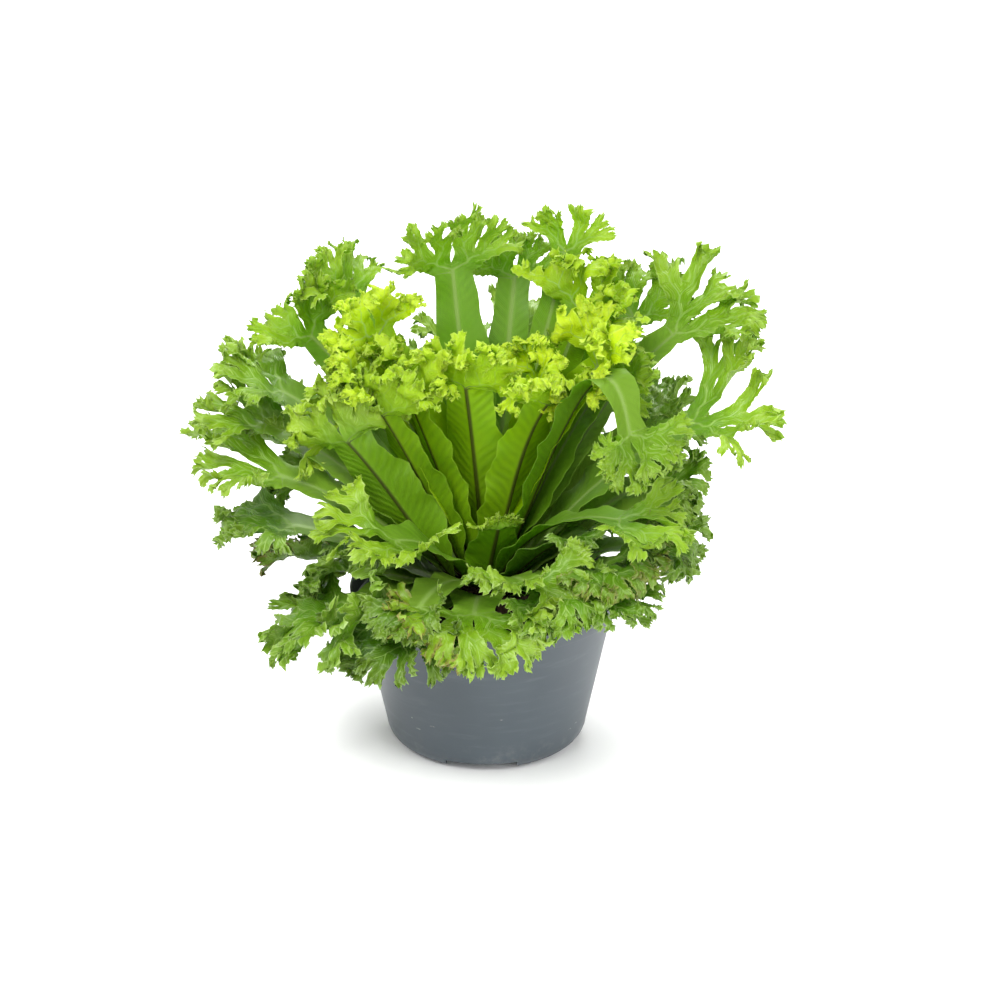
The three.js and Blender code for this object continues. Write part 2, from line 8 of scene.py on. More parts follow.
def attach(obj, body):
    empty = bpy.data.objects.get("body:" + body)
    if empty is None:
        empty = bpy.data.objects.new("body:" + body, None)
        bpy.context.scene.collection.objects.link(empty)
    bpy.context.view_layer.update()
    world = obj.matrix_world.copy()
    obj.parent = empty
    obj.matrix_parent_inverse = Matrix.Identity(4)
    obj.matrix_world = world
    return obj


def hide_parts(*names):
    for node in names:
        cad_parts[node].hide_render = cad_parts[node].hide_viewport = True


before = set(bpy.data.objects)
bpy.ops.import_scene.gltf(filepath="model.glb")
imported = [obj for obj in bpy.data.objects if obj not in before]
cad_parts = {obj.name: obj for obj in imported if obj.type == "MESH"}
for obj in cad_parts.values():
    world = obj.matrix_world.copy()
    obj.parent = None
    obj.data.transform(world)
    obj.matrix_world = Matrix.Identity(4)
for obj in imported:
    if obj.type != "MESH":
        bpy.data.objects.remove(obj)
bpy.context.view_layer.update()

mm = 0.001
fullTurn = 6.283   # the range that the waves' phases are drawn from

# camera, where the photographer stood
cameraPlace = {"elevation": 22.5, "target": (0.010, 0.0, 0.185), "distance": 2.2, "lens": 109.5}

# lights: name, place and size in metres, watts
studioLights = [
    ("keyLight", (-0.8, -1.3, 2.0), 1.4, 60),
    ("fillLight", (1.2, -1.4, 0.9), 1.4, 20),
    ("backLight", (0.3, 1.5, 1.9), 1.2, 54),
]
studio = {
    "lightsAimAt": (0, 0, 0.2),
    "floorSize": 14.0,
    "floorTone": (0.96, 0.96, 0.96),
    "skyTone": (1.0, 1.0, 1.0),
    "skyStrength": 0.82,
}


def nothingSelected():
    if bpy.context.object and bpy.context.object.mode != "OBJECT":
        bpy.ops.object.mode_set(mode="OBJECT")
    bpy.ops.object.select_all(action="DESELECT")


def onlySelected(*pieces):
    nothingSelected()
    for piece in pieces:
        piece.select_set(True)
    bpy.context.view_layer.objects.active = pieces[0]


def smoothStep(low, high, value):
    t = min(1.0, max(0.0, (value - low) / (high - low)))
    return t * t * (3 - 2 * t)


def blendOf(a, b, share):
    return a + (b - a) * share


# camera and light
up = math.radians(cameraPlace["elevation"])
away = Vector((0, -math.cos(up), math.sin(up)))
spot = Vector(cameraPlace["target"]) + away * cameraPlace["distance"]
bpy.ops.object.camera_add(location=spot, rotation=away.to_track_quat("Z", "Y").to_euler())
camera = bpy.context.object
camera.name = "photoCamera"
camera.data.lens = cameraPlace["lens"]
bpy.context.scene.camera = camera

for name, place, size, watts in studioLights:
    aim = Vector(studio["lightsAimAt"]) - Vector(place)
    bpy.ops.object.light_add(type="AREA", location=place,
                             rotation=aim.to_track_quat("-Z", "Y").to_euler())
    light = bpy.context.object
    light.name = name
    light.data.shape = "DISK"
    light.data.size = size
    light.data.energy = watts

sky = bpy.data.worlds.new("paleSky")
bpy.context.scene.world = sky
sky.use_nodes = True
sky.node_tree.nodes["Background"].inputs["Color"].default_value = (*studio["skyTone"], 1)
sky.node_tree.nodes["Background"].inputs["Strength"].default_value = studio["skyStrength"]
bpy.context.scene.view_settings.view_transform = "Standard"
print("camera and lights are up")


# node helpers
def newMaterial(name):
    material = bpy.data.materials.new(name)
    material.use_nodes = True
    tree = material.node_tree
    for old in list(tree.nodes):
        if old.type != "OUTPUT_MATERIAL":
            tree.nodes.remove(old)
    return material, tree


def node(tree, kind, inputs=None, **settings):
    made = tree.nodes.new(kind)
    for key, value in settings.items():
        setattr(made, key, value)
    for key, value in (inputs or {}).items():
        socket = made.inputs[key]
        if isinstance(value, bpy.types.NodeSocket):
            tree.links.new(value, socket)
        else:
            socket.default_value = value
    return made


def calc(tree, operation, a, b=0.0, c=0.0):
    return node(tree, "ShaderNodeMath", {0: a, 1: b, 2: c}, operation=operation).outputs[0]


def times(tree, a, b):
    return calc(tree, "MULTIPLY", a, b)


def remap(tree, value, low, high, outLow=0.0, outHigh=1.0):
    made = node(tree, "ShaderNodeMapRange", {"Value": value, "From Min": low, "From Max": high,
                                             "To Min": outLow, "To Max": outHigh})
    made.interpolation_type = "SMOOTHSTEP"
    return made.outputs["Result"]


def mixTone(tree, share, a, b):
    made = tree.nodes.new("ShaderNodeMix")
    made.data_type = "RGBA"
    for index, value in ((0, share), (6, a), (7, b)):
        if isinstance(value, bpy.types.NodeSocket):
            tree.links.new(value, made.inputs[index])
        else:
            made.inputs[index].default_value = value if index == 0 else (*value, 1)
    return made.outputs[2]


def toneRamp(tree, value, stops):
    made = node(tree, "ShaderNodeValToRGB", {"Fac": value})
    ramp = made.color_ramp
    while len(ramp.elements) < len(stops):
        ramp.elements.new(0.5)
    for element, (place, tone) in zip(ramp.elements, stops):
        element.position = place
        element.color = (*tone, 1)
    return made.outputs["Color"]


def objectSpot(tree, scale=(1, 1, 1)):
    spotNode = node(tree, "ShaderNodeTexCoord")
    return node(tree, "ShaderNodeMapping", {"Vector": spotNode.outputs["Object"], "Scale": scale}).outputs[0]


def noise(tree, vector, scale, detail=3.0, rough=0.55):
    return node(tree, "ShaderNodeTexNoise", {"Vector": vector, "Scale": scale, "Detail": detail,
                                             "Roughness": rough}).outputs["Fac"]


def attribute(tree, name):
    return node(tree, "ShaderNodeAttribute", attribute_name=name).outputs["Fac"]


def onSurface(tree, shader):
    tree.links.new(shader.outputs[0], tree.nodes["Material Output"].inputs["Surface"])


# floor
floorMaterial, tree = newMaterial("paleFloor")
onSurface(tree, node(tree, "ShaderNodeBsdfPrincipled", {"Base Color": (*studio["floorTone"], 1),
                                                        "Roughness": 0.9}))
nothingSelected()
bpy.ops.mesh.primitive_plane_add(size=studio["floorSize"], location=(0, 0, 0))
floor = bpy.context.object
floor.name = "floor"
floor.data.materials.append(floorMaterial)

# pot
potLook = {
    "sides": 128,
    "tone": (0.045, 0.058, 0.070),
    "scuffTone": (0.088, 0.108, 0.124),
    "dustTone": (0.30, 0.31, 0.30),
    "footGapAngles": (-93, -3, 87, 177),
    "footGap": 52,
    "footGapReach": 88,
    "footGapDepth": 76,
    "footHeight": 8,
    "drainCount": 6,
    "drainCircle": 36,
    "drainRadius": 6,
    "drainSides": 24,
    "drainDepth": 30,
    "drainMiddle": 4,
    "sharpAngle": 38,
}
# the wall as it is turned, as radius and height: from the middle of the underside out and up, over the
# rim and down inside
potProfile = [
    (50.0, 8.0), (51.4, 6.8), (52.0, 0.5), (52.6, 0.0), (59.5, 0.0), (63.4, 0.7), (67.0, 2.2), (70.0, 4.6),
    (72.3, 7.8), (73.6, 11.2), (74.2, 15.0), (80.6, 45.0), (87.0, 75.5), (93.2, 104.9), (93.5, 106.0),
    (94.0, 106.4), (97.4, 106.5), (98.1, 106.7), (98.4, 107.3), (99.2, 112.0), (99.7, 116.6), (99.9, 118.0),
    (99.7, 118.7), (99.1, 119.0), (98.3, 118.8), (97.9, 118.2), (96.8, 112.0), (95.9, 106.5), (91.5, 104.4),
    (85.2, 75.5), (78.6, 45.0), (72.1, 15.0), (71.3, 11.8), (70.2, 10.7), (60.0, 10.5),
]


def turnedShell(name, sides, profile):   # a solid turned about the pot's axis; its end rings are filled
    nothingSelected()
    radius, height = profile[0]
    bpy.ops.mesh.primitive_circle_add(vertices=sides, radius=radius * mm, fill_type="NGON",
                                      location=(0, 0, height * mm))
    shell = bpy.context.object
    shell.name = name
    bpy.ops.object.transform_apply(location=True, rotation=True, scale=True)
    bpy.ops.object.mode_set(mode="EDIT")
    bpy.ops.mesh.select_mode(type="EDGE")
    bpy.ops.mesh.select_all(action="SELECT")
    bpy.ops.mesh.region_to_loop()
    for nextRadius, nextHeight in profile[1:]:
        lift = (nextHeight - height) * mm
        bpy.ops.mesh.extrude_region_move(TRANSFORM_OT_translate={"value": (0, 0, lift)})
        factor = nextRadius / radius
        bpy.ops.transform.resize(value=(factor, factor, 1), center_override=(0, 0, nextHeight * mm))
        radius, height = nextRadius, nextHeight
    bpy.ops.mesh.edge_face_add()
    bpy.ops.mesh.select_all(action="SELECT")
    bpy.ops.mesh.normals_make_consistent(inside=False)
    bpy.ops.object.mode_set(mode="OBJECT")
    return shell


def cutWith(piece, cutter):
    cut = piece.modifiers.new("cut", "BOOLEAN")
    cut.operation = "DIFFERENCE"
    cut.solver = "EXACT"
    cut.object = cutter
    onlySelected(piece)
    bpy.ops.object.modifier_apply(modifier=cut.name)
    bpy.data.objects.remove(cutter)


def potFinish():
    material, tree = newMaterial("nurseryPlastic")
    wide = objectSpot(tree)
    streaks = noise(tree, objectSpot(tree, (1, 1, 7)), 26, 4, 0.6)
    cloud = noise(tree, wide, 11, 3)
    grain = noise(tree, wide, 900, 2)
    dust = noise(tree, wide, 34, 6, 0.7)
    specks = node(tree, "ShaderNodeTexVoronoi", {"Vector": wide, "Scale": 120.0, "Randomness": 1.0})
    speck = times(tree, remap(tree, specks.outputs["Distance"], 0.05, 0.11, 1, 0),
                  remap(tree, dust, 0.60, 0.66))
    rubs = node(tree, "ShaderNodeTexVoronoi", {"Vector": objectSpot(tree, (1, 1, 5)), "Scale": 46.0})
    rub = times(tree, remap(tree, rubs.outputs["Distance"], 0.06, 0.14, 1, 0),
                remap(tree, noise(tree, wide, 19, 2), 0.56, 0.62))
    speck = calc(tree, "MAXIMUM", speck, times(tree, rub, remap(tree, grain, 0.4, 0.6)))
    streak = remap(tree, streaks, 0.5, 0.85, 0, 0.6)
    tone = mixTone(tree, streak, potLook["tone"], potLook["scuffTone"])
    tone = mixTone(tree, remap(tree, cloud, 0.3, 0.75, 0, 0.35), tone, potLook["scuffTone"])
    height = node(tree, "ShaderNodeSeparateXYZ", {0: wide}).outputs["Z"]
    splash = times(tree, remap(tree, height, 0.0, 0.03, 1, 0), remap(tree, dust, 0.5, 0.75, 0, 0.5))
    tone = mixTone(tree, splash, tone, potLook["dustTone"])
    tone = mixTone(tree, speck, tone, potLook["dustTone"])
    rough = calc(tree, "ADD", remap(tree, cloud, 0.2, 0.8, 0.34, 0.46), times(tree, speck, 0.25))
    relief = calc(tree, "ADD", times(tree, grain, 0.25), times(tree, streaks, 0.5))
    bump = node(tree, "ShaderNodeBump", {"Height": relief, "Strength": 0.12, "Distance": 0.0006})
    shader = node(tree, "ShaderNodeBsdfPrincipled", {"Base Color": tone, "Roughness": rough,
                                                    "Normal": bump.outputs[0]})
    onSurface(tree, shader)
    return material


pot = turnedShell("potShell", potLook["sides"], potProfile)
for angle in potLook["footGapAngles"]:
    turn = math.radians(angle)
    reach = potLook["footGapReach"] * mm
    nothingSelected()
    bpy.ops.mesh.primitive_cube_add(size=1, location=(reach * math.cos(turn), reach * math.sin(turn), 0),
                                    rotation=(0, 0, turn),
                                    scale=(potLook["footGapDepth"] * mm, potLook["footGap"] * mm,
                                           2 * potLook["footHeight"] * mm))
    cutWith(pot, bpy.context.object)
for hole in range(potLook["drainCount"]):
    turn = 2 * math.pi * hole / potLook["drainCount"]
    reach = potLook["drainCircle"] * mm
    nothingSelected()
    bpy.ops.mesh.primitive_cylinder_add(vertices=potLook["drainSides"], radius=potLook["drainRadius"] * mm,
                                        depth=potLook["drainDepth"] * mm,
                                        location=(reach * math.cos(turn), reach * math.sin(turn),
                                                  potLook["drainMiddle"] * mm))
    cutWith(pot, bpy.context.object)
onlySelected(pot)
bpy.ops.object.shade_smooth_by_angle(angle=math.radians(potLook["sharpAngle"]))
pot.data.materials.clear()
pot.data.materials.append(potFinish())
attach(pot, "root")
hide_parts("pot")
print("pot is turned:", len(pot.data.polygons), "faces")

# soil
soilLook = {
    "sides": 96,
    "buried": ((69.5, 10.9), (70.7, 12.2), (71.4, 15.5), (81.0, 60)),   # against the pot: radius, height
    "rings": (91.0, 88.5, 84, 79, 74, 69, 64, 59, 54, 49, 44, 39.5),   # from the wall in to the crown
    "holeRadius": 35.5,
    "holeFoot": (34.5, 86.2),
    "level": 103,
    "mound": 3.5,
    "moundReach": 50,
    "crumb": 1.5,
    "chips": 260,
    "chipKinds": 5,
    "chipSize": (1.6, 5.2),
    "chipWidth": (0.5, 0.9),
    "chipHeight": 0.35,
    "sharpAngle": 50,
    "seed": 7,
    "tones": [(0.3, (0.010, 0.007, 0.005)), (0.52, (0.035, 0.022, 0.013)), (0.75, (0.10, 0.062, 0.034))],
    "fibreTone": (0.16, 0.11, 0.07),
}


def soilFinish():
    material, tree = newMaterial("pottingSoil")
    place = objectSpot(tree)
    coarse = noise(tree, place, 130, 5, 0.65)
    fine = noise(tree, place, 620, 4, 0.6)
    tone = toneRamp(tree, coarse, soilLook["tones"])
    tone = mixTone(tree, remap(tree, fine, 0.62, 0.75), tone, soilLook["fibreTone"])
    relief = calc(tree, "ADD", coarse, times(tree, fine, 0.4))
    bump = node(tree, "ShaderNodeBump", {"Height": relief, "Strength": 0.7, "Distance": 0.0016})
    shader = node(tree, "ShaderNodeBsdfPrincipled", {"Base Color": tone, "Roughness": 0.95,
                                                    "Normal": bump.outputs[0]})
    onSurface(tree, shader)
    return material


def groundHeight(reach):
    rising = (soilLook["rings"][0] - reach) / soilLook["moundReach"]
    return soilLook["level"] - 1 + soilLook["mound"] * smoothStep(0, 0.8, rising)


def crumbledSoil():
    dice = random.Random(soilLook["seed"])
    profile = [*soilLook["buried"], *((ring, groundHeight(ring)) for ring in soilLook["rings"]),
               (soilLook["holeRadius"], soilLook["level"] + 1), soilLook["holeFoot"]]
    soil = turnedShell("soilFill", soilLook["sides"], profile)
    for vertex in soil.data.vertices:   # crumbs on the open ground
        reach = math.hypot(vertex.co.x, vertex.co.y) / mm
        if vertex.co.z > (soilLook["level"] - 3) * mm and 38 < reach < 90:
            vertex.co.z += dice.uniform(-1, 1) * soilLook["crumb"] * mm
            vertex.co.x += dice.uniform(-1, 1) * mm
            vertex.co.y += dice.uniform(-1, 1) * mm
    return soil, dice


def barkChip(dice):
    nothingSelected()
    bpy.ops.mesh.primitive_cube_add(size=1, location=(0, 0, 0))
    chip = bpy.context.object
    bpy.ops.object.mode_set(mode="EDIT")
    bpy.ops.mesh.bevel(offset=0.18, segments=1)
    bpy.ops.object.mode_set(mode="OBJECT")
    for vertex in chip.data.vertices:
        vertex.co += Vector([dice.uniform(-0.12, 0.12) for _ in range(3)])
    return chip


soil, soilDice = crumbledSoil()
chipShapes = [barkChip(soilDice) for _ in range(soilLook["chipKinds"])]
chips = []
for count in range(soilLook["chips"]):
    angle = soilDice.uniform(0, 2 * math.pi)
    reach = 40 + 48 * math.sqrt(soilDice.random())
    size = soilDice.uniform(*soilLook["chipSize"])
    chip = bpy.data.objects.new("chip", chipShapes[count % len(chipShapes)].data.copy())
    bpy.context.scene.collection.objects.link(chip)
    shape = Matrix.Diagonal((size * mm, size * soilDice.uniform(*soilLook["chipWidth"]) * mm,
                             size * soilLook["chipHeight"] * mm, 1))
    turn = Matrix.Rotation(soilDice.uniform(0, 6.3), 4, "Z")
    turn = turn @ Matrix.Rotation(soilDice.uniform(-0.6, 0.6), 4, "X")
    seat = Matrix.Translation((reach * math.cos(angle) * mm, reach * math.sin(angle) * mm,
                               (groundHeight(reach) + 0.4) * mm))
    chip.data.transform(seat @ turn @ shape)
    chips.append(chip)
for shape in chipShapes:
    bpy.data.objects.remove(shape)
onlySelected(soil, *chips)
bpy.ops.object.join()
soil.data.materials.clear()
soil.data.materials.append(soilFinish())
bpy.ops.object.shade_smooth_by_angle(angle=math.radians(soilLook["sharpAngle"]))
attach(soil, "root")
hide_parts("soil")
print("soil is filled in:", len(soil.data.polygons), "faces")

# crown
crownLook = {
    "radius": 34,
    "top": 138,
    "level": 103,
    "foot": 86.3,
    "scales": 420,
    "scaleTurn": 2.39996,   # from one scale to the next, in radians
    "scaleWidth": (2.2, 3.8),
    "scaleLength": (6, 12),
    "scaleThickness": 1.1,
    "scaleSunk": 2.6,
    "sharpAngle": 45,
    "seed": 11,
    "tones": [(0.3, (0.012, 0.007, 0.004)), (0.55, (0.050, 0.027, 0.013)), (0.8, (0.17, 0.10, 0.05))],
    "patchTone": (0.085, 0.045, 0.02),
}


def domeHeight(reach):
    rise = crownLook["top"] - crownLook["level"]
    return crownLook["level"] + rise * math.sqrt(max(0.0, 1 - (reach / crownLook["radius"]) ** 2))


def crownFinish():
    material, tree = newMaterial("crownScales")
    place = objectSpot(tree)
    hairs = noise(tree, objectSpot(tree, (1, 1, 0.16)), 520, 5, 0.7)
    patch = noise(tree, place, 60, 3)
    tone = toneRamp(tree, hairs, crownLook["tones"])
    tone = mixTone(tree, remap(tree, patch, 0.5, 0.7, 0, 0.6), tone, crownLook["patchTone"])
    bump = node(tree, "ShaderNodeBump", {"Height": hairs, "Strength": 0.8, "Distance": 0.0012})
    shader = node(tree, "ShaderNodeBsdfPrincipled", {"Base Color": tone, "Roughness": 0.85,
                                                    "Normal": bump.outputs[0]})
    onSurface(tree, shader)
    return material


def scalyCrown():
    dice = random.Random(crownLook["seed"])
    nothingSelected()
    bpy.ops.mesh.primitive_uv_sphere_add(segments=48, ring_count=28, radius=1, location=(0, 0, 0))
    crown = bpy.context.object
    crown.name = "crownHeart"
    reach = (crownLook["radius"] - 1.2) * mm
    for vertex in crown.data.vertices:
        x, y, lift = vertex.co
        bumps = 1 + 0.03 * math.sin(9 * math.atan2(y, x) + 7 * lift)
        vertex.co.x, vertex.co.y = x * reach * bumps, y * reach * bumps
        if lift >= 0:
            rise = crownLook["top"] - crownLook["level"] - 1.5
            vertex.co.z = (crownLook["level"] + lift * rise) * mm
        else:
            vertex.co.z = (crownLook["level"] + lift * (crownLook["level"] - crownLook["foot"])) * mm
    nothingSelected()
    bpy.ops.mesh.primitive_cone_add(vertices=5, radius1=0.5, radius2=0.06, depth=1, location=(0, 0, 0.5))
    scale = bpy.context.object
    bpy.ops.object.transform_apply(location=True, rotation=True, scale=True)
    scales = []
    for count in range(crownLook["scales"]):
        share = math.sqrt((count + 0.5) / crownLook["scales"])
        angle = count * crownLook["scaleTurn"] + dice.uniform(-0.2, 0.2)
        out = share * (crownLook["radius"] - 1.6)
        made = bpy.data.objects.new("scale", scale.data.copy())
        bpy.context.scene.collection.objects.link(made)
        lean = math.radians(blendOf(8, 78, share ** 1.5) + dice.uniform(-9, 9))
        size = Matrix.Diagonal((dice.uniform(*crownLook["scaleWidth"]) * mm, crownLook["scaleThickness"] * mm,
                                dice.uniform(*crownLook["scaleLength"]) * mm, 1))
        turn = Matrix.Rotation(angle - math.pi / 2, 4, "Z") @ Matrix.Rotation(-lean, 4, "X")
        seat = Vector((out * math.cos(angle) * mm, out * math.sin(angle) * mm,
                       (domeHeight(out) - crownLook["scaleSunk"]) * mm))
        made.data.transform(Matrix.Translation(seat) @ turn @ size)
        scales.append(made)
    bpy.data.objects.remove(scale)
    onlySelected(crown, *scales)
    bpy.ops.object.join()
    bpy.ops.object.shade_smooth_by_angle(angle=math.radians(crownLook["sharpAngle"]))
    return crown


crown = scalyCrown()
crown.data.materials.clear()
crown.data.materials.append(crownFinish())
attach(crown, "root")
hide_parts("crown")
print("crown is scaled:", len(crown.data.polygons), "faces")

# fronds
# what all fronds share, in millimetres: rows of seven numbers run from the crest's base to its last forks, and
# pairs are ranges that are drawn from
frondLook = {
    "firstSeed": 100,
    "stalkWidth": 5,
    "stalkSunk": 5,
    "rootPitch": 7.6,
    "rootRing": 30,
    "risingShare": 0.4,
    "endingShare": 0.36,
    "channelSlope": 0.2,
    "forkWaist": 0.26,
    "edgePace": (30, 44),
    "strapRows": 28,
    "acrossLines": (-1, -0.86, -0.68, -0.48, -0.29, -0.13, -0.055, 0,
                    0.055, 0.13, 0.29, 0.48, 0.68, 0.86, 1),
    "forkPlaces": {
        6: (0, 0.13, 0.30, 0.49, 0.67, 0.81, 0.91, 1.0),
        5: (0, 0.15, 0.36, 0.58, 0.77, 0.90, 1.0),
        4: (0, 0.17, 0.42, 0.66, 0.84, 1.0),
    },
    "lobeRows": (3, 4, 5, 6, 5, 4, 3),
    "lobeLines": (16, 12, 12, 10, 8, 8, 8),
    "endLines": 6,
    "crispCrowding": (1.0, 1.04, 1.2, 1.42, 1.62, 1.8, 1.85),
    "openCrowding": (1.0, 1.14, 1.24, 1.32, 1.38, 1.42, 1.4),
    "pinches": (0, 0.05, 0.06, 0.06, 0.04, 0, 0),
    "partings": (0, 0.01, 0.04, 0.07, 0.10, 0.16, 0.18),
    "wobbles": (0, 0.03, 0.06, 0.08, 0.13, 0.22, 0.28),
    "ruffles": (0.0, 0.4, 1.0, 1.5, 1.8, 2.0, 1.7),
    "lengthLuck": (0.76, 1.22),
    "widthLuck": (0.9, 1.12),
    "lastWidth": 0.86,
    "foldSlopes": (0.14, 0.46),
    "veinWidth": 1.15,
    "veinTaper": 0.68,
    "ribTaper": 0.62,
    "pleatHeight": 0.075,
    "halfThickness": 0.34,
    "keel": 1.5,
    "marginReach": 1.7,
    "crumplePaces": (17, 11),
    "sharpAngle": 62,
    "youngLean": 30,
}
# each frond, in degrees and millimetres: name, direction and reach of its tip, height of the tip, lean of stalk
# and tip, blade width, crest length, half the crest's spread, how old it looks (0 yellow, 1 dark), how frilled
# its crest is, and where they differ from the usual ones below: how far round the stalk sets off and the blade
# is turned, and how high it arches
frondWords = ("name", "az", "reach", "rise", "lean", "droop", "width", "crest", "spread", "age", "frill",
              "swing", "roll", "arch")
frondTable = [
    ("back_centre", 114, 70, 390, 11, 10, 42, 52, 36, 0.42, 0.32),
    ("back_left", 147, 150, 354, 18, 38, 36, 52, 40, 0.42, 0.42, 0, -18),
    ("back_slim", 76, 99, 358, 20, 26, 32, 36, 44, 0.50, 0.40, 0, 10),
    ("back_top", 47, 94, 388, 15, 15, 26, 38, 26, 0.38, 0.45, 0, 10),
    ("high_right", 22, 102, 366, 15, 32, 36, 58, 54, 0.22, 1.00, 0, 35),
    ("far_right", 12, 200, 333, 26, 72, 38, 72, 28, 0.50, 0.50, 0, 12),
    ("back_right", 34, 165, 332, 24, 50, 34, 50, 36, 0.46, 0.55, 0, 18),
    ("gold_right", 350, 112, 334, 12, 38, 36, 54, 56, 0.04, 1.00, 0, 38),
    ("upper_left", 163, 166, 330, 20, 45, 36, 50, 38, 0.40, 0.45, 0, -24),
    ("gold_back", 171, 100, 343, 14, 34, 34, 44, 46, 0.06, 1.00, 0, -40),
    ("gold_left", 192, 116, 316, 18, 52, 38, 44, 50, 0.10, 1.00, 0, -40),
    ("curl_left", 204, 80, 322, 18, 24, 42, 44, 54, 0.16, 1.00, 0, 14),
    ("curl_centre", 245, 44, 324, 9, 16, 46, 44, 52, 0.14, 1.00),
    ("gold_centre", 350, 48, 314, 5, 16, 36, 40, 54, 0.00, 1.00, 0, 20),
    ("curl_right", 318, 84, 302, 17, 50, 42, 40, 46, 0.12, 1.00, 0, -18),
    ("curl_low", 206, 104, 300, 25, 36, 40, 44, 56, 0.24, 0.90, 0, 22),
    ("broad_left", 196, 136, 276, 36, 50, 50, 50, 48, 0.34, 0.80, 0, 52),
    ("left_high", 175, 200, 290, 31, 68, 40, 62, 28, 0.50, 0.50, 0, -12),
    ("left_far", 178, 213, 262, 41, 76, 36, 60, 22, 0.52, 0.35, 0, -20),
    ("left_fingers", 187, 214, 220, 51, 94, 40, 70, 26, 0.54, 0.36, 0, -16),
    ("left_low", 190, 204, 172, 58, 108, 42, 66, 30, 0.78, 0.70, 0, -8),
    ("left_pale", 184, 116, 292, 22, 44, 30, 44, 50, 0.40, 0.30, 0, -20),
    ("right_pale", 8, 112, 309, 21, 36, 42, 54, 48, 0.40, 0.40, 0, 20),
    ("right_far", 356, 218, 278, 33, 72, 38, 80, 31, 0.42, 0.30, 0, 14),
    ("right_curl", 19, 148, 244, 38, 62, 32, 44, 50, 0.68, 0.60, 0, 30),
    ("right_fork", 322, 132, 226, 20, 172, 38, 42, 54, 0.54, 0.42, 26, 0, 2.7),
    ("right_mid", 10, 166, 200, 47, 88, 32, 46, 48, 0.62, 0.50, 0, 20),
    ("right_light", 326, 166, 188, 26, 112, 36, 54, 52, 0.42, 0.25, -10, 0, 1.1),
    ("right_small", 353, 154, 196, 49, 88, 30, 42, 46, 0.66, 0.50, 0, 15),
    ("right_low", 343, 168, 162, 58, 108, 36, 56, 52, 0.82, 0.75),
    ("right_under", 318, 156, 160, 61, 126, 36, 50, 48, 0.82, 0.70),
    ("right_dark", 320, 112, 180, 42, 100, 50, 30, 34, 0.86, 0.30),
    ("front_light", 224, 142, 168, 32, 118, 46, 60, 54, 0.40, 0.08, -10, -12, 1.1),
    ("front_fan", 212, 166, 84, 60, 150, 44, 76, 58, 0.66, 0.45),
    # front_left's age is set to the darkest partly as painted shade, where it hangs low beneath the other
    # fronds
    ("front_left", 240, 153, 92, 62, 158, 36, 60, 42, 1.00, 0.50),
    ("front_centre", 266, 158, 114, 58, 150, 38, 64, 46, 0.50, 0.60),
    ("front_parsley", 287, 134, 148, 52, 140, 30, 44, 62, 0.55, 0.50),
    ("front_right", 294, 150, 132, 54, 142, 36, 50, 38, 0.62, 0.55),
    ("front_tuft", 312, 156, 134, 66, 142, 30, 38, 36, 0.76, 0.50),
    ("lip", 282, 46, 190, 22, 22, 36, 12, 18, 0.30, 0.40),
    ("front_small", 248, 152, 132, 54, 140, 32, 38, 44, 0.85, 0.50),
    ("left_under", 199, 144, 136, 68, 116, 42, 54, 50, 0.80, 0.60),
    ("rear_right", 57, 180, 262, 38, 72, 36, 60, 50, 0.60, 0.40),
    ("rear_centre", 88, 160, 282, 31, 64, 42, 60, 52, 0.55, 0.40),
    ("rear_left", 124, 180, 245, 40, 80, 36, 60, 50, 0.60, 0.40),
    ("rear_low_left", 150, 180, 178, 52, 104, 36, 58, 52, 0.72, 0.50),
    ("rear_low", 100, 160, 160, 56, 110, 36, 58, 52, 0.72, 0.50),
    ("rear_low_right", 45, 178, 170, 54, 106, 36, 58, 52, 0.72, 0.50),
    ("rear_base_left", 126, 154, 122, 62, 126, 38, 56, 52, 0.84, 0.50),
    ("rear_base_right", 72, 156, 118, 62, 128, 38, 56, 52, 0.84, 0.50),
    ("left_base", 174, 165, 118, 65, 128, 38, 56, 50, 0.86, 0.50),
    ("right_base", 14, 160, 120, 64, 126, 38, 56, 50, 0.86, 0.50),
    ("rear_mid_left", 160, 186, 232, 43, 84, 42, 60, 46, 0.66, 0.40),
    ("rear_mid_right", 29, 182, 226, 44, 86, 42, 58, 46, 0.66, 0.40),
]
# how far some crests have withered: share, and on which side of the frond (-1 left, 1 right, 0 both)
withered = {"front_centre": (0.6, 1), "right_under": (0.35, 0), "left_base": (0.6, 0), "rear_low": (0.6, 1)}
usual = {"swing": 0, "roll": 0, "arch": 1.0}
fronds = [{**usual, **dict(zip(frondWords, row))} for row in frondTable]


def placeStalks():   # the upright ones innermost, nudged apart until none crowds its neighbour
    order = sorted(fronds, key=lambda frond: frond["lean"])
    for rank, frond in enumerate(order):
        reach = frondLook["rootRing"] * math.sqrt((rank + 0.5) / len(order))
        turn = math.radians(frond["az"] + frond["swing"])
        frond["root"] = Vector((reach * math.cos(turn), reach * math.sin(turn)))
    for _ in range(120):
        for i, frond in enumerate(order):
            for other in order[:i]:
                apart = frond["root"] - other["root"]
                missing = frondLook["rootPitch"] - apart.length
                if missing > 0:
                    apart = apart.normalized() * (missing / 2)
                    frond["root"] += apart
                    other["root"] -= apart
            if frond["root"].length > frondLook["rootRing"]:
                frond["root"] = frond["root"].normalized() * frondLook["rootRing"]


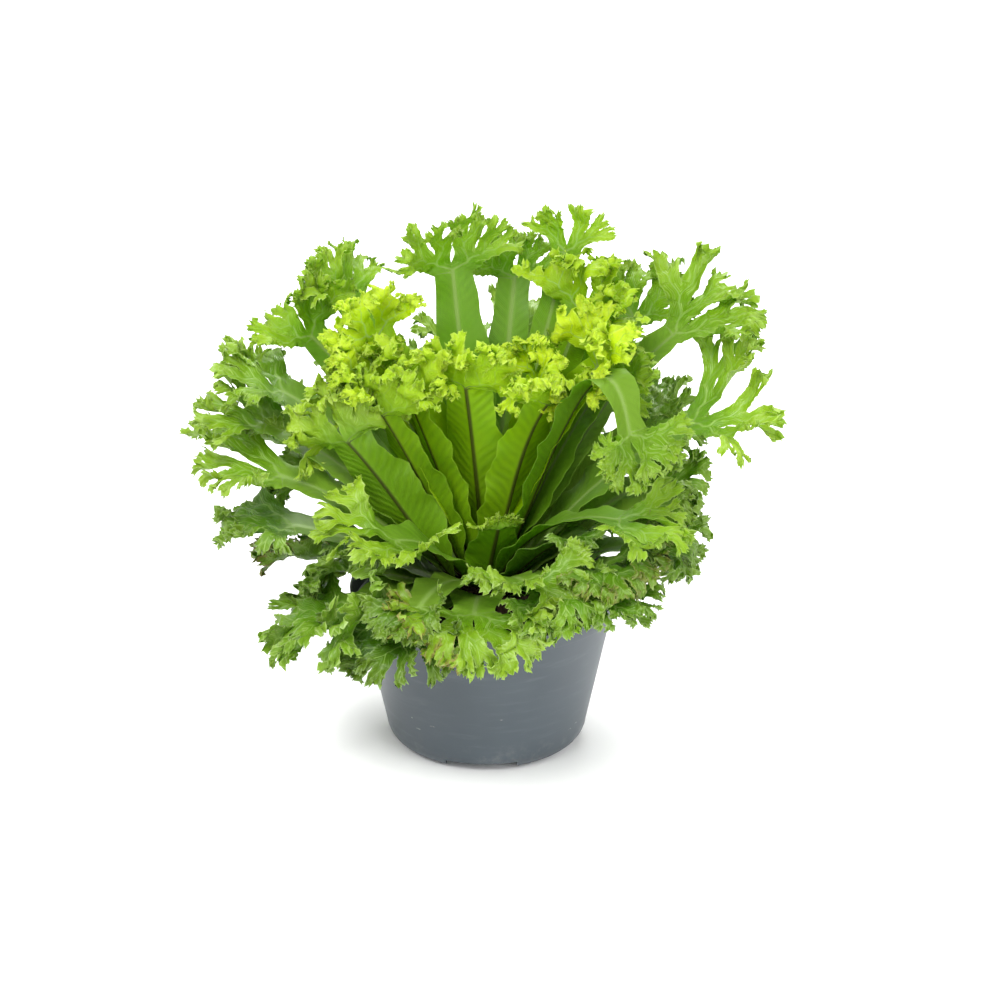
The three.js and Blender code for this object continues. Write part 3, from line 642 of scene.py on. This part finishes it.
def bendSpine(frond):   # the curve that the frond grows along, and which way its blade faces on it
    sets = math.radians(frond["az"] + frond["swing"])
    ends = math.radians(frond["az"] - frond["swing"] / 2)

    def heading(degrees, turn, length):
        tilt = math.radians(degrees)
        flat = math.sin(tilt)
        return np.array((flat * math.cos(turn), flat * math.sin(turn), math.cos(tilt))) * length

    az = math.radians(frond["az"])
    root = np.array((frond["root"].x, frond["root"].y, domeHeight(frond["root"].length)))
    tip = np.array((frond["reach"] * math.cos(az), frond["reach"] * math.sin(az), frond["rise"]))
    span = np.linalg.norm(tip - root) * frond["arch"]
    start = root - heading(frond["lean"], sets, frondLook["stalkSunk"])
    rising = root + heading(frond["lean"], sets, span * frondLook["risingShare"])
    ending = tip - heading(frond["droop"], ends, span * frondLook["endingShare"])
    t = np.linspace(0, 1, 241)[:, None]
    line = (1 - t) ** 3 * start + 3 * (1 - t) ** 2 * t * rising + 3 * (1 - t) * t * t * ending + t ** 3 * tip
    slope = (3 * (1 - t) ** 2 * (rising - start) + 6 * (1 - t) * t * (ending - rising)
             + 3 * t * t * (tip - ending))
    slope /= np.linalg.norm(slope, axis=1)[:, None]
    steps = np.concatenate([[0], np.cumsum(np.linalg.norm(np.diff(line, axis=0), axis=1))])
    share = steps / steps[-1]
    turn = sets + (ends - sets) * share
    flat = np.stack([np.sin(turn), -np.cos(turn), np.zeros_like(turn)], axis=1)
    upward = np.cross(flat, slope)
    upward /= np.linalg.norm(upward, axis=1)[:, None]
    roll = math.radians(frond["roll"]) * np.array([smoothStep(0.05, 0.35, s) for s in share])[:, None]
    upward = upward * np.cos(roll) + np.cross(slope, upward) * np.sin(roll)
    frond["line"], frond["slope"], frond["upward"] = line, slope, upward
    frond["steps"], frond["length"] = steps, float(steps[-1])


def layOnSpine(frond, spots):   # from the flat pattern to where the frond really is, in metres
    y = np.clip(spots[:, 1], 0, frond["length"])

    def read(name):
        return np.stack([np.interp(y, frond["steps"], frond[name][:, i]) for i in range(3)], axis=1)

    along = read("slope")
    along /= np.linalg.norm(along, axis=1)[:, None]
    across = np.cross(along, read("upward"))
    across /= np.linalg.norm(across, axis=1)[:, None]
    upward = np.cross(across, along)
    placed = read("line") + along * (spots[:, 1] - y)[:, None]
    placed = placed + across * spots[:, :1] + upward * spots[:, 2:3]
    return placed * mm


# a blade under construction; each face corner is marked with its place across the rib in rib widths, its
# share of the crest, and its place on the flat pattern in centimetres
def newBlade():
    return {"spots": [], "share": [], "rib": [], "faces": [], "corners": []}


def addSpot(blade, spotXyz, share, rib):
    blade["spots"].append(spotXyz)
    blade["share"].append(share)
    blade["rib"].append(rib)
    return len(blade["spots"]) - 1


def zipRows(blade, low, high):   # faces between two rows; a row holds ids, places across and corner marks
    i = j = 0
    n, m = len(low["ids"]) - 1, len(high["ids"]) - 1

    def add(*ends):
        blade["faces"].append([row["ids"][k] for row, k in ends])
        blade["corners"].append([row["marks"][k] for row, k in ends])

    if n == m:
        for k in range(n):
            add((low, k), (low, k + 1), (high, k + 1), (high, k))
        return
    while i < n or j < m:
        if j == m or (i < n and low["q"][i + 1] <= high["q"][j + 1] + 1e-9):
            add((low, i), (low, i + 1), (high, j))
            i += 1
        else:
            add((low, i), (high, j + 1), (high, j))
            j += 1


def turnAbout(axis, angle, *vectors):
    spin = Matrix.Rotation(angle, 3, axis)
    return [spin @ vector for vector in vectors]


# one lobe of the crest and, from its end, the two that it forks into: base is the row that it grows from, low
# and high the share of the crest's fan that it covers, turn how far it swings round and bent which way it curls
def forkLobe(blade, frond, order, base, centre, ahead, side, width, low, high, turn, bent):
    dice, last = frond["dice"], frond["orders"]
    places = frondLook["forkPlaces"][last]
    start, end = places[order], places[order + 1]
    span = frond["crest"] * (end - start) * (dice.uniform(*frondLook["lengthLuck"]) if order else 1)
    rows = frondLook["lobeRows"][order]
    columns = frondLook["endLines"] if order == last else frondLook["lobeLines"][order]
    fan = frond["width"] * (1 - frondLook["forkWaist"])
    fan += 2 * math.radians(frond["spread"]) * end * frond["crest"]
    crisp = smoothStep(0.5, 1.0, frond["frill"])
    webbed = smoothStep(0.05, 0.55, frond["frill"])
    crowd = blendOf(frondLook["openCrowding"][order], frondLook["crispCrowding"][order], crisp)
    crowd *= blendOf(0.76, 1.0, webbed) if 0 < order < 5 else 1
    endWidth = max(width, fan * (high - low) / 2 * crowd * dice.uniform(*frondLook["widthLuck"]))
    if order == last:
        endWidth *= frondLook["lastWidth"]
    upward = side.cross(ahead).normalized()
    if order:
        ahead, side = turnAbout(upward, turn * 0.5, ahead, side)
    curl = bent * dice.uniform(0.3, 1.0) * (0.20 + 0.10 * order) * (0.95 + 0.35 * frond["frill"])
    curl = curl * (1 + 1.3 * crisp * smoothStep(2, 4, order)) - 0.05 * order * (0.3 + frond["frill"])
    twist = dice.uniform(-1, 1) * (0.08 + 0.07 * order)
    waves = dice.choice((1.0, 1.5, 1.75)) if order == last else 0.5 if order < 3 else 0.9
    phase = dice.uniform(0, fullTurn)
    ruffle = frond["ruffle"] * frondLook["ruffles"][order]
    fold = dice.uniform(*frondLook["foldSlopes"]) if order else frondLook["channelSlope"]
    veinWidth = frondLook["veinWidth"] * frondLook["veinTaper"] ** order
    pinch = frondLook["pinches"][order] * blendOf(1.6, 0.8, crisp) * blendOf(2.4, 1.0, webbed)
    for step in range(1, rows + 1):
        s = step / rows
        ahead, side = turnAbout(upward, turn * 0.5 / rows if order else 0, ahead, side)
        ahead, upward = turnAbout(side, curl / rows, ahead, upward)
        side, upward = turnAbout(ahead, twist / rows, side, upward)
        centre = centre + ahead * (span / rows)
        wide = blendOf(width, endWidth, s ** 0.8) * (1 - pinch * 4 * s * (1 - s))
        part = 0.5 * smoothStep(0.3, 1.0, s) if order < last else 0
        row = {"ids": [], "q": [], "marks": []}
        share = start + (end - start) * s
        for k in range(columns + 1):
            q = 2 * k / columns - 1
            lift = fold * abs(q) * wide / 2 * smoothStep(0, 0.6, s) * (1 if order else 1 - 0.4 * s)
            wave = math.sin(phase + waves * math.pi * (q + 1))
            lift += ruffle * (0.25 + 0.75 * s) * wave * (0.35 + 0.65 * abs(q))
            back = (0.10 if order < last else 0.42) * wide * q * q * s
            out = q * wide / 2
            if order < last:   # pleats that run along the lobe
                pace = max(4.2, 3.2 * wide / columns)
                pleat = math.cos(phase + 2 * math.pi * out / pace)
                lift += frondLook["pleatHeight"] * pace * smoothStep(0, 0.5, s) * pleat
            elif step == rows:   # the toothed margin
                back -= (1.3 if k % 2 else -0.7) * frond["tooth"] * dice.uniform(0.4, 1.5)
                lift += dice.uniform(-0.7, 0.7)
            if order > 1 and k in (0, columns):   # notched, curly sides
                out += math.copysign((1.0 if step % 2 else -0.7) * frond["notch"] * dice.uniform(0.3, 1.4), q)
                lift += frond["notch"] * dice.uniform(-0.9, 0.9)
            spotXyz = centre + side * out + upward * lift - ahead * back
            away = (abs(q) - part) * wide / 2
            rib = max(0.0, 1 - abs(away) / (2.4 * veinWidth)) * frondLook["ribTaper"] ** (order + 1)
            row["ids"].append(addSpot(blade, spotXyz, share, rib))
            row["q"].append(q)
            row["marks"].append((away / veinWidth, share, away * 0.1, spotXyz.y * 0.1))
        zipRows(blade, base, row)
        base = row
    if order == last:
        return
    half = columns // 2 + (dice.choice((-1, 0, 0, 1)) if order else 0)
    middle = low + (high - low) * half / columns
    halves = ((1, slice(0, half + 1), (low, middle)), (-1, slice(half, None), (middle, high)))
    for childSide, taken, bounds in halves:
        ids, marks = base["ids"][taken], base["marks"][taken]
        first, final = blade["spots"][ids[0]], blade["spots"][ids[-1]]
        chord = final - first
        childWidth = chord.length
        childAhead = (ahead - chord.normalized() * ahead.dot(chord.normalized())).normalized()
        childVein = veinWidth * frondLook["veinTaper"]
        q = [2 * k / (len(ids) - 1) - 1 for k in range(len(ids))]
        childMarks = [(abs(a) * childWidth / 2 / childVein, mark[1], a * childWidth * 0.05, mark[3])
                      for a, mark in zip(q, marks)]
        childBase = {"ids": ids, "q": q, "marks": childMarks}
        childTurn = math.radians(frond["spread"]) * (low + high - sum(bounds)) / 2 * dice.uniform(0.8, 1.25)
        parting = frondLook["partings"][order + 1] * blendOf(1.2, 0.7, crisp) + 0.07 * (1 - webbed)
        childTurn += childSide * parting * dice.uniform(0.3, 1.2)
        childTurn += frondLook["wobbles"][order + 1] * dice.uniform(-1, 1)
        childBent = childSide * (1 if dice.random() < 0.75 else -1)
        forkLobe(blade, frond, order + 1, childBase, (first + final) / 2, childAhead, chord.normalized(),
                 childWidth, *bounds, childTurn, childBent)


def cutPattern(frond):   # the blade while it is still flat: strap rows, then the forking crest
    dice = frond["dice"]
    blade = newBlade()
    strap = frond["length"] - frond["crest"]
    phases = [dice.uniform(0, fullTurn) for _ in range(4)]
    pace = dice.uniform(*frondLook["edgePace"])
    base = None
    for i in range(frondLook["strapRows"] + 1):
        share = i / frondLook["strapRows"]
        y = share * strap
        opened = smoothStep(-0.05, 0.36, share)
        waist = 1 - frondLook["forkWaist"] * smoothStep(0.65, 1, share)
        half = (frondLook["stalkWidth"] + (frond["width"] - frondLook["stalkWidth"]) * opened) * waist / 2
        vein = blendOf(1.5, frondLook["veinWidth"], share)
        row = {"ids": [], "q": [], "marks": []}
        for a in frondLook["acrossLines"]:
            phase = phases[0] if a < 0 else phases[1]
            wave = math.sin(2 * math.pi * y / pace + phase)
            wave = wave + 0.5 * math.sin(2 * math.pi * y / (pace * 0.43) + phases[2])
            x = a * half * (1 + 0.03 * wave * opened * abs(a))
            lift = frondLook["channelSlope"] * (math.hypot(x, 1.6) - 1.6)
            lift += 0.085 * half * opened * abs(a) ** 2.6 * wave
            lift += 0.9 * opened * math.sin(2 * math.pi * y / (pace * 1.9) + phases[3]) * a
            rib = max(0.0, 1 - abs(x) / 2.2) * (1 - 0.35 * share)
            row["ids"].append(addSpot(blade, Vector((x, y, lift)), 0.0, rib))
            row["q"].append(a)
            row["marks"].append((x / vein, 0.0, x * 0.1, y * 0.1))
        if base:
            zipRows(blade, base, row)
        base = row
    width = frond["width"] * (1 - frondLook["forkWaist"])
    forkLobe(blade, frond, 0, base, Vector((0, strap, 0)), Vector((0, 1, 0)), Vector((1, 0, 0)), width,
             -1, 1, 0, 0)
    return blade


def crumpled(frond, blade):   # the pattern's spots, with shallow dents in the crest
    flat = np.array([tuple(spot) for spot in blade["spots"]])
    dice, depth = frond["dice"], np.array(blade["share"]) * frond["crumple"]
    for pace in frondLook["crumplePaces"]:
        turn, first, second = (dice.uniform(0, fullTurn) for _ in range(3))
        u = flat[:, 0] * math.cos(turn) + flat[:, 1] * math.sin(turn)
        v = flat[:, 1] * math.cos(turn) - flat[:, 0] * math.sin(turn)
        flat[:, 2] += depth * np.sin(u / pace * 3 + first) * np.cos(v / pace * 3 + second)
        depth = depth * 0.5
    return flat


def closeBlade(frond, blade):   # two skins and a rim give the blade its thickness; the rib is raised beneath
    flat = crumpled(frond, blade)
    spots = layOnSpine(frond, flat)
    count = len(spots)
    normals = np.zeros_like(spots)
    edgeUse = {}
    for face, marks in zip(blade["faces"], blade["corners"]):
        a, b, c = spots[face[0]], spots[face[1]], spots[face[2]]
        normal = np.cross(b - a, c - a)
        if len(face) == 4:
            normal = normal + np.cross(c - a, spots[face[3]] - a)
        for corner, vertex in enumerate(face):
            normals[vertex] += normal
            following = (corner + 1) % len(face)
            edgeUse[(vertex, face[following])] = (marks[corner], marks[following])
    normals /= np.linalg.norm(normals, axis=1)[:, None] + 1e-12
    rims = [(a, b) for a, b in edgeUse if (b, a) not in edgeUse]
    rimSpots = spots[[a for a, b in rims]]
    nearest = np.empty(count)
    for part in range(0, count, 400):   # in parts, to spare the memory
        gap = spots[part:part + 400, None, :] - rimSpots[None, :, :]
        nearest[part:part + 400] = np.sqrt((gap ** 2).sum(2)).min(1)
    margin = np.exp(-nearest / (frondLook["marginReach"] * mm))
    share = np.array(blade["share"])
    rib = np.array(blade["rib"])
    half = (frondLook["halfThickness"] - 0.17 * margin - 0.06 * share) * mm
    keel = rib * frondLook["keel"] * mm
    top = spots + normals * (half + 0.12 * keel)[:, None]
    under = spots - normals * (half + keel)[:, None]
    faces = [list(face) for face in blade["faces"]]
    corners = [list(marks) for marks in blade["corners"]]
    for face, marks in zip(blade["faces"], blade["corners"]):
        faces.append([vertex + count for vertex in reversed(face)])
        corners.append(list(reversed(marks)))
    for a, b in rims:
        first, second = edgeUse[(a, b)]
        faces.append([b, a, a + count, b + count])
        corners.append([second, first, first, second])
    mesh = bpy.data.meshes.new(f"frond_{frond['name']}_mesh")
    mesh.from_pydata(np.concatenate([top, under]).tolist(), [], faces)
    veins = mesh.uv_layers.new(name="veins")
    place = mesh.uv_layers.new(name="place")
    marks = np.array([mark for face in corners for mark in face])
    veins.data.foreach_set("uv", marks[:, :2].astype(np.float32).ravel())
    place.data.foreach_set("uv", marks[:, 2:].astype(np.float32).ravel())
    ill, illSide = withered.get(frond["name"], (0, 0))
    dry = ill * np.clip((share - 0.45) * 2.6, 0, 1) * (flat[:, 0] * illSide > 7 if illSide else 1)
    skins = {
        "crestShare": np.tile(share, 2),
        "margin": np.tile(margin, 2),
        "dry": np.tile(dry, 2),
        "underside": np.concatenate([np.zeros(count), np.ones(count)]),
        "age": np.full(2 * count, frond["age"]),
        "luck": np.full(2 * count, frond["luck"]),
    }
    for name, values in skins.items():
        layer = mesh.attributes.new(name, "FLOAT", "POINT")
        layer.data.foreach_set("value", values.astype(np.float32))
    mesh.validate()
    piece = bpy.data.objects.new(f"leaf_{frond['name']}", mesh)
    bpy.context.scene.collection.objects.link(piece)
    return piece


# the leaf's tones; a list of them runs from the youngest leaf (0) to the oldest (1)
leafTones = {
    "strap": [(0.0, (0.250, 0.430, 0.001)), (0.3, (0.100, 0.262, 0.001)), (0.6, (0.085, 0.245, 0.001)),
              (1.0, (0.036, 0.135, 0.002))],
    "crest": [(0.0, (0.580, 0.720, 0.006)), (0.2, (0.390, 0.590, 0.006)), (0.42, (0.265, 0.450, 0.018)),
              (0.65, (0.105, 0.262, 0.006)), (1.0, (0.040, 0.130, 0.003))],
    # margin: pale edges of the crest, partly the leaf's own and partly painted highlight where the edges catch
    # the light
    "margin": [(0.0, (0.620, 0.740, 0.110)), (0.5, (0.400, 0.560, 0.130)), (1.0, (0.280, 0.420, 0.130))],
    "glow": [(0.0, (0.700, 0.900, 0.003)), (0.3, (0.350, 0.610, 0.003)), (0.6, (0.210, 0.450, 0.008)),
             (1.0, (0.130, 0.320, 0.010))],
    # the streaks' pale tones stand partly for painted sheen on the crest's lobes
    "streak": [(0.0, (0.620, 0.740, 0.060)), (0.4, (0.450, 0.620, 0.130)), (0.8, (0.370, 0.540, 0.170)),
               (1.0, (0.200, 0.350, 0.090))],
    "tip": (0.600, 0.710, 0.080),
    "upper": (0.300, 0.470, 0.070),
    "ribAbove": (0.330, 0.520, 0.110),
    "ribBelow": (0.034, 0.018, 0.007),
    # the dark green below is painted shade for the grooves between the strap's side ridges
    "ridgeShade": (0.030, 0.110, 0.002),
    "lucky": (0.30, 0.42, 0.01),
    "beneath": (0.24, 0.37, 0.02),
    "glowVein": (0.030, 0.034, 0.004),
    "deadEdge": (0.300, 0.150, 0.045),
    "deadPatch": (0.180, 0.075, 0.020),
}
# how rough, how shiny and how see-through a leaf is
leafKinds = {"youngLeaf": (0.42, 0.22, 0.45), "grownLeaf": (0.38, 0.44, 0.34)}
# the spacing of the strap's side ridges and their painted shade, its fine lines and the crest's pleats, in
# centimetres
leafPaces = {"ridgeShade": 0.74, "hairline": 0.17, "pleat": 0.16}


def leafFinish(name):
    rough, shine, seeThrough = leafKinds[name]
    material, tree = newMaterial(name)
    place = objectSpot(tree)
    age, share, margin = (attribute(tree, key) for key in ("age", "crestShare", "margin"))
    under, luck, dry = attribute(tree, "underside"), attribute(tree, "luck"), attribute(tree, "dry")
    mottle = noise(tree, place, 42, 4, 0.6)
    fine = noise(tree, place, 700, 2)
    cloud = calc(tree, "SUBTRACT", mottle, 0.5)
    above = calc(tree, "SUBTRACT", 1.0, under)
    ageHere = calc(tree, "ADD", age, times(tree, cloud, 0.3))
    strapTone = toneRamp(tree, ageHere, leafTones["strap"])
    crestTone = toneRamp(tree, ageHere, leafTones["crest"])
    tone = mixTone(tree, remap(tree, share, 0.0, 0.75), strapTone, crestTone)

    # the strap: paler above, with ridges and fine lines that run out and forward from the rib; painted shade
    # darkens the ridges' grooves
    inStrap = remap(tree, share, 0.0, 0.3, 1, 0)
    pale = times(tree, above, remap(tree, ageHere, 0.25, 0.5, 0.0, 0.42))
    tone = mixTone(tree, times(tree, pale, inStrap), tone, leafTones["upper"])
    pattern = node(tree, "ShaderNodeUVMap", uv_map="place").outputs[0]
    flat = node(tree, "ShaderNodeSeparateXYZ", {0: pattern})
    across = calc(tree, "ABSOLUTE", flat.outputs["X"])
    slant = calc(tree, "MULTIPLY_ADD", across, -0.9, flat.outputs["Y"])
    wander = times(tree, noise(tree, place, 30, 3), 13.0)
    ridges = calc(tree, "SINE", calc(tree, "MULTIPLY_ADD", slant, 2 * math.pi / leafPaces["ridgeShade"], wander))
    ridges = calc(tree, "MULTIPLY_ADD", ridges, 0.5, 0.5)
    ridges = times(tree, ridges, remap(tree, noise(tree, place, 17, 2), 0.35, 0.65, 0.25, 1.0))
    ridges = times(tree, ridges, remap(tree, across, 0.1, 0.7, 0.2, 1.0))
    ridges = times(tree, ridges, remap(tree, under, 0.0, 1.0, 0.35, 1.0))
    hairlines = calc(tree, "SINE", times(tree, slant, 2 * math.pi / leafPaces["hairline"]))
    pleats = calc(tree, "SINE", times(tree, flat.outputs["X"], 2 * math.pi / leafPaces["pleat"]))
    lines = times(tree, hairlines, inStrap)
    pleatLines = times(tree, pleats, calc(tree, "SUBTRACT", 1.0, inStrap))
    shade = times(tree, ridges, inStrap)
    # painted shade: the strap darkens in the grooves between its side ridges, more so beneath
    tone = mixTone(tree, times(tree, shade, 0.22), tone, leafTones["ridgeShade"])
    tone = mixTone(tree, times(tree, luck, 0.18), tone, leafTones["lucky"])

    # the crest: pale streaks along its lobes, partly painted sheen; pale tips; and a pale margin, partly
    # painted highlight
    grainPlace = node(tree, "ShaderNodeMapping", {"Vector": pattern, "Scale": (7, 0.8, 1)}).outputs[0]
    streaks = remap(tree, noise(tree, grainPlace, 1.0, 2, 0.5), 0.53, 0.68)
    streaks = times(tree, streaks, remap(tree, share, 0.0, 0.3))
    streaks = times(tree, streaks, remap(tree, ageHere, 0.1, 0.55, 0.2, 0.65))
    # the pale streaks are partly the leaf's own tone and partly painted sheen
    tone = mixTone(tree, streaks, tone, toneRamp(tree, ageHere, leafTones["streak"]))

    tips = times(tree, remap(tree, share, 0.55, 1.0), remap(tree, ageHere, 0.0, 0.3, 0.6, 0.12))
    tone = mixTone(tree, tips, tone, leafTones["tip"])
    # partly painted highlight: the crest's margin is paler
    paleMarginAndHighlight = times(tree, remap(tree, margin, 0.6, 1.0), remap(tree, share, 0.1, 0.8, 0.15, 0.75))
    tone = mixTone(tree, paleMarginAndHighlight, tone, toneRamp(tree, ageHere, leafTones["margin"]))
    tone = mixTone(tree, times(tree, under, 0.12), tone, leafTones["beneath"])

    # the rib: pale above, dark beneath, and pale again where it forks into the crest
    veins = node(tree, "ShaderNodeUVMap", uv_map="veins").outputs[0]
    fromRib = calc(tree, "ABSOLUTE", node(tree, "ShaderNodeSeparateXYZ", {0: veins}).outputs["X"])
    vein = remap(tree, fromRib, 0.45, 1.9, 1, 0)
    paleRib = times(tree, remap(tree, fromRib, 0.6, 3.4, 1, 0), above)
    paleRib = times(tree, paleRib, remap(tree, ageHere, 0.3, 0.6, 0.0, 0.55))
    tone = mixTone(tree, times(tree, paleRib, inStrap), tone, leafTones["ribAbove"])
    darkRib = times(tree, under, remap(tree, share, 0.0, 0.12, 1, 0))
    veinTone = mixTone(tree, darkRib, leafTones["ribAbove"], leafTones["ribBelow"])
    veinShare = times(tree, vein, remap(tree, share, 0.0, 0.9, 0.8, 0.4))
    fading = times(tree, under, remap(tree, share, 0.02, 0.14, 0, 0.6))
    veinShare = times(tree, veinShare, calc(tree, "SUBTRACT", 1.0, fading))
    tone = mixTone(tree, veinShare, tone, veinTone)

    # withered patches, and the light that comes through
    patches = calc(tree, "MULTIPLY_ADD", margin, 0.4, noise(tree, place, 70, 4, 0.6))
    patches = remap(tree, patches, 0.70, 0.90)
    dryShare = times(tree, dry, patches)
    deadTone = mixTone(tree, remap(tree, fine, 0.4, 0.6), leafTones["deadEdge"], leafTones["deadPatch"])
    tone = mixTone(tree, dryShare, tone, deadTone)
    glow = toneRamp(tree, ageHere, leafTones["glow"])
    glow = mixTone(tree, dryShare, glow, leafTones["deadPatch"])
    # painted shade in the ridges' grooves, also in the light that comes through
    glow = mixTone(tree, times(tree, shade, 0.35), glow, leafTones["ridgeShade"])
    glow = mixTone(tree, times(tree, vein, remap(tree, share, 0.0, 0.25, 0.9, 0.1)), glow,
                   leafTones["glowVein"])

    relief = calc(tree, "MULTIPLY_ADD", shade, 1.0, times(tree, lines, 0.07))
    relief = calc(tree, "ADD", relief, times(tree, pleatLines, 0.22))
    relief = calc(tree, "ADD", relief, times(tree, fine, 0.12))
    bump = node(tree, "ShaderNodeBump", {"Height": relief, "Strength": 0.45, "Distance": 0.0008})
    gloss = calc(tree, "MULTIPLY_ADD", cloud, 0.18, rough)
    gloss = calc(tree, "MULTIPLY_ADD", under, 0.08, gloss)
    surface = node(tree, "ShaderNodeBsdfPrincipled", {"Base Color": tone, "Roughness": gloss,
                                                     "Specular IOR Level": shine, "Normal": bump.outputs[0]})
    through = node(tree, "ShaderNodeBsdfTranslucent", {"Color": glow, "Normal": bump.outputs[0]})
    both = node(tree, "ShaderNodeMixShader", {0: seeThrough, 1: surface.outputs[0], 2: through.outputs[0]})
    onSurface(tree, both)
    return material


def settleGrowth(frond, number):   # what a frond's size and frill make of its crest
    dice, frill = random.Random(frondLook["firstSeed"] + number), frond["frill"]
    fan = frond["width"] * 0.8 + 2 * math.radians(frond["spread"]) * frond["crest"]
    frond["dice"] = dice
    frond["orders"] = min(6, max(4, round(math.log2(fan / blendOf(4.0, 1.9, frill)))))
    frond["ruffle"] = blendOf(0.9, 1.7, frill) * frond["crest"] / 60
    frond["crumple"] = blendOf(2.2, 3.2, frill)
    frond["tooth"] = blendOf(1.4, 1.0, frill)
    frond["notch"] = smoothStep(-0.1, 0.5, frill)
    frond["luck"] = dice.random()


placeStalks()
youngLeaf = leafFinish("youngLeaf")
grownLeaf = leafFinish("grownLeaf")
triangles = 0
for number, frond in enumerate(fronds):
    settleGrowth(frond, number)
    bendSpine(frond)
    piece = closeBlade(frond, cutPattern(frond))
    young = frond["lean"] < frondLook["youngLean"]
    piece.data.materials.append(youngLeaf if young else grownLeaf)
    onlySelected(piece)
    bpy.ops.object.shade_smooth_by_angle(angle=math.radians(frondLook["sharpAngle"]))
    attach(piece, "root")
    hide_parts(f"frond_{frond['name']}")
    triangles += len(piece.data.loops) - 2 * len(piece.data.polygons)
print("fronds are grown:", len(fronds), "of them,", triangles, "triangles")

nothingSelected()
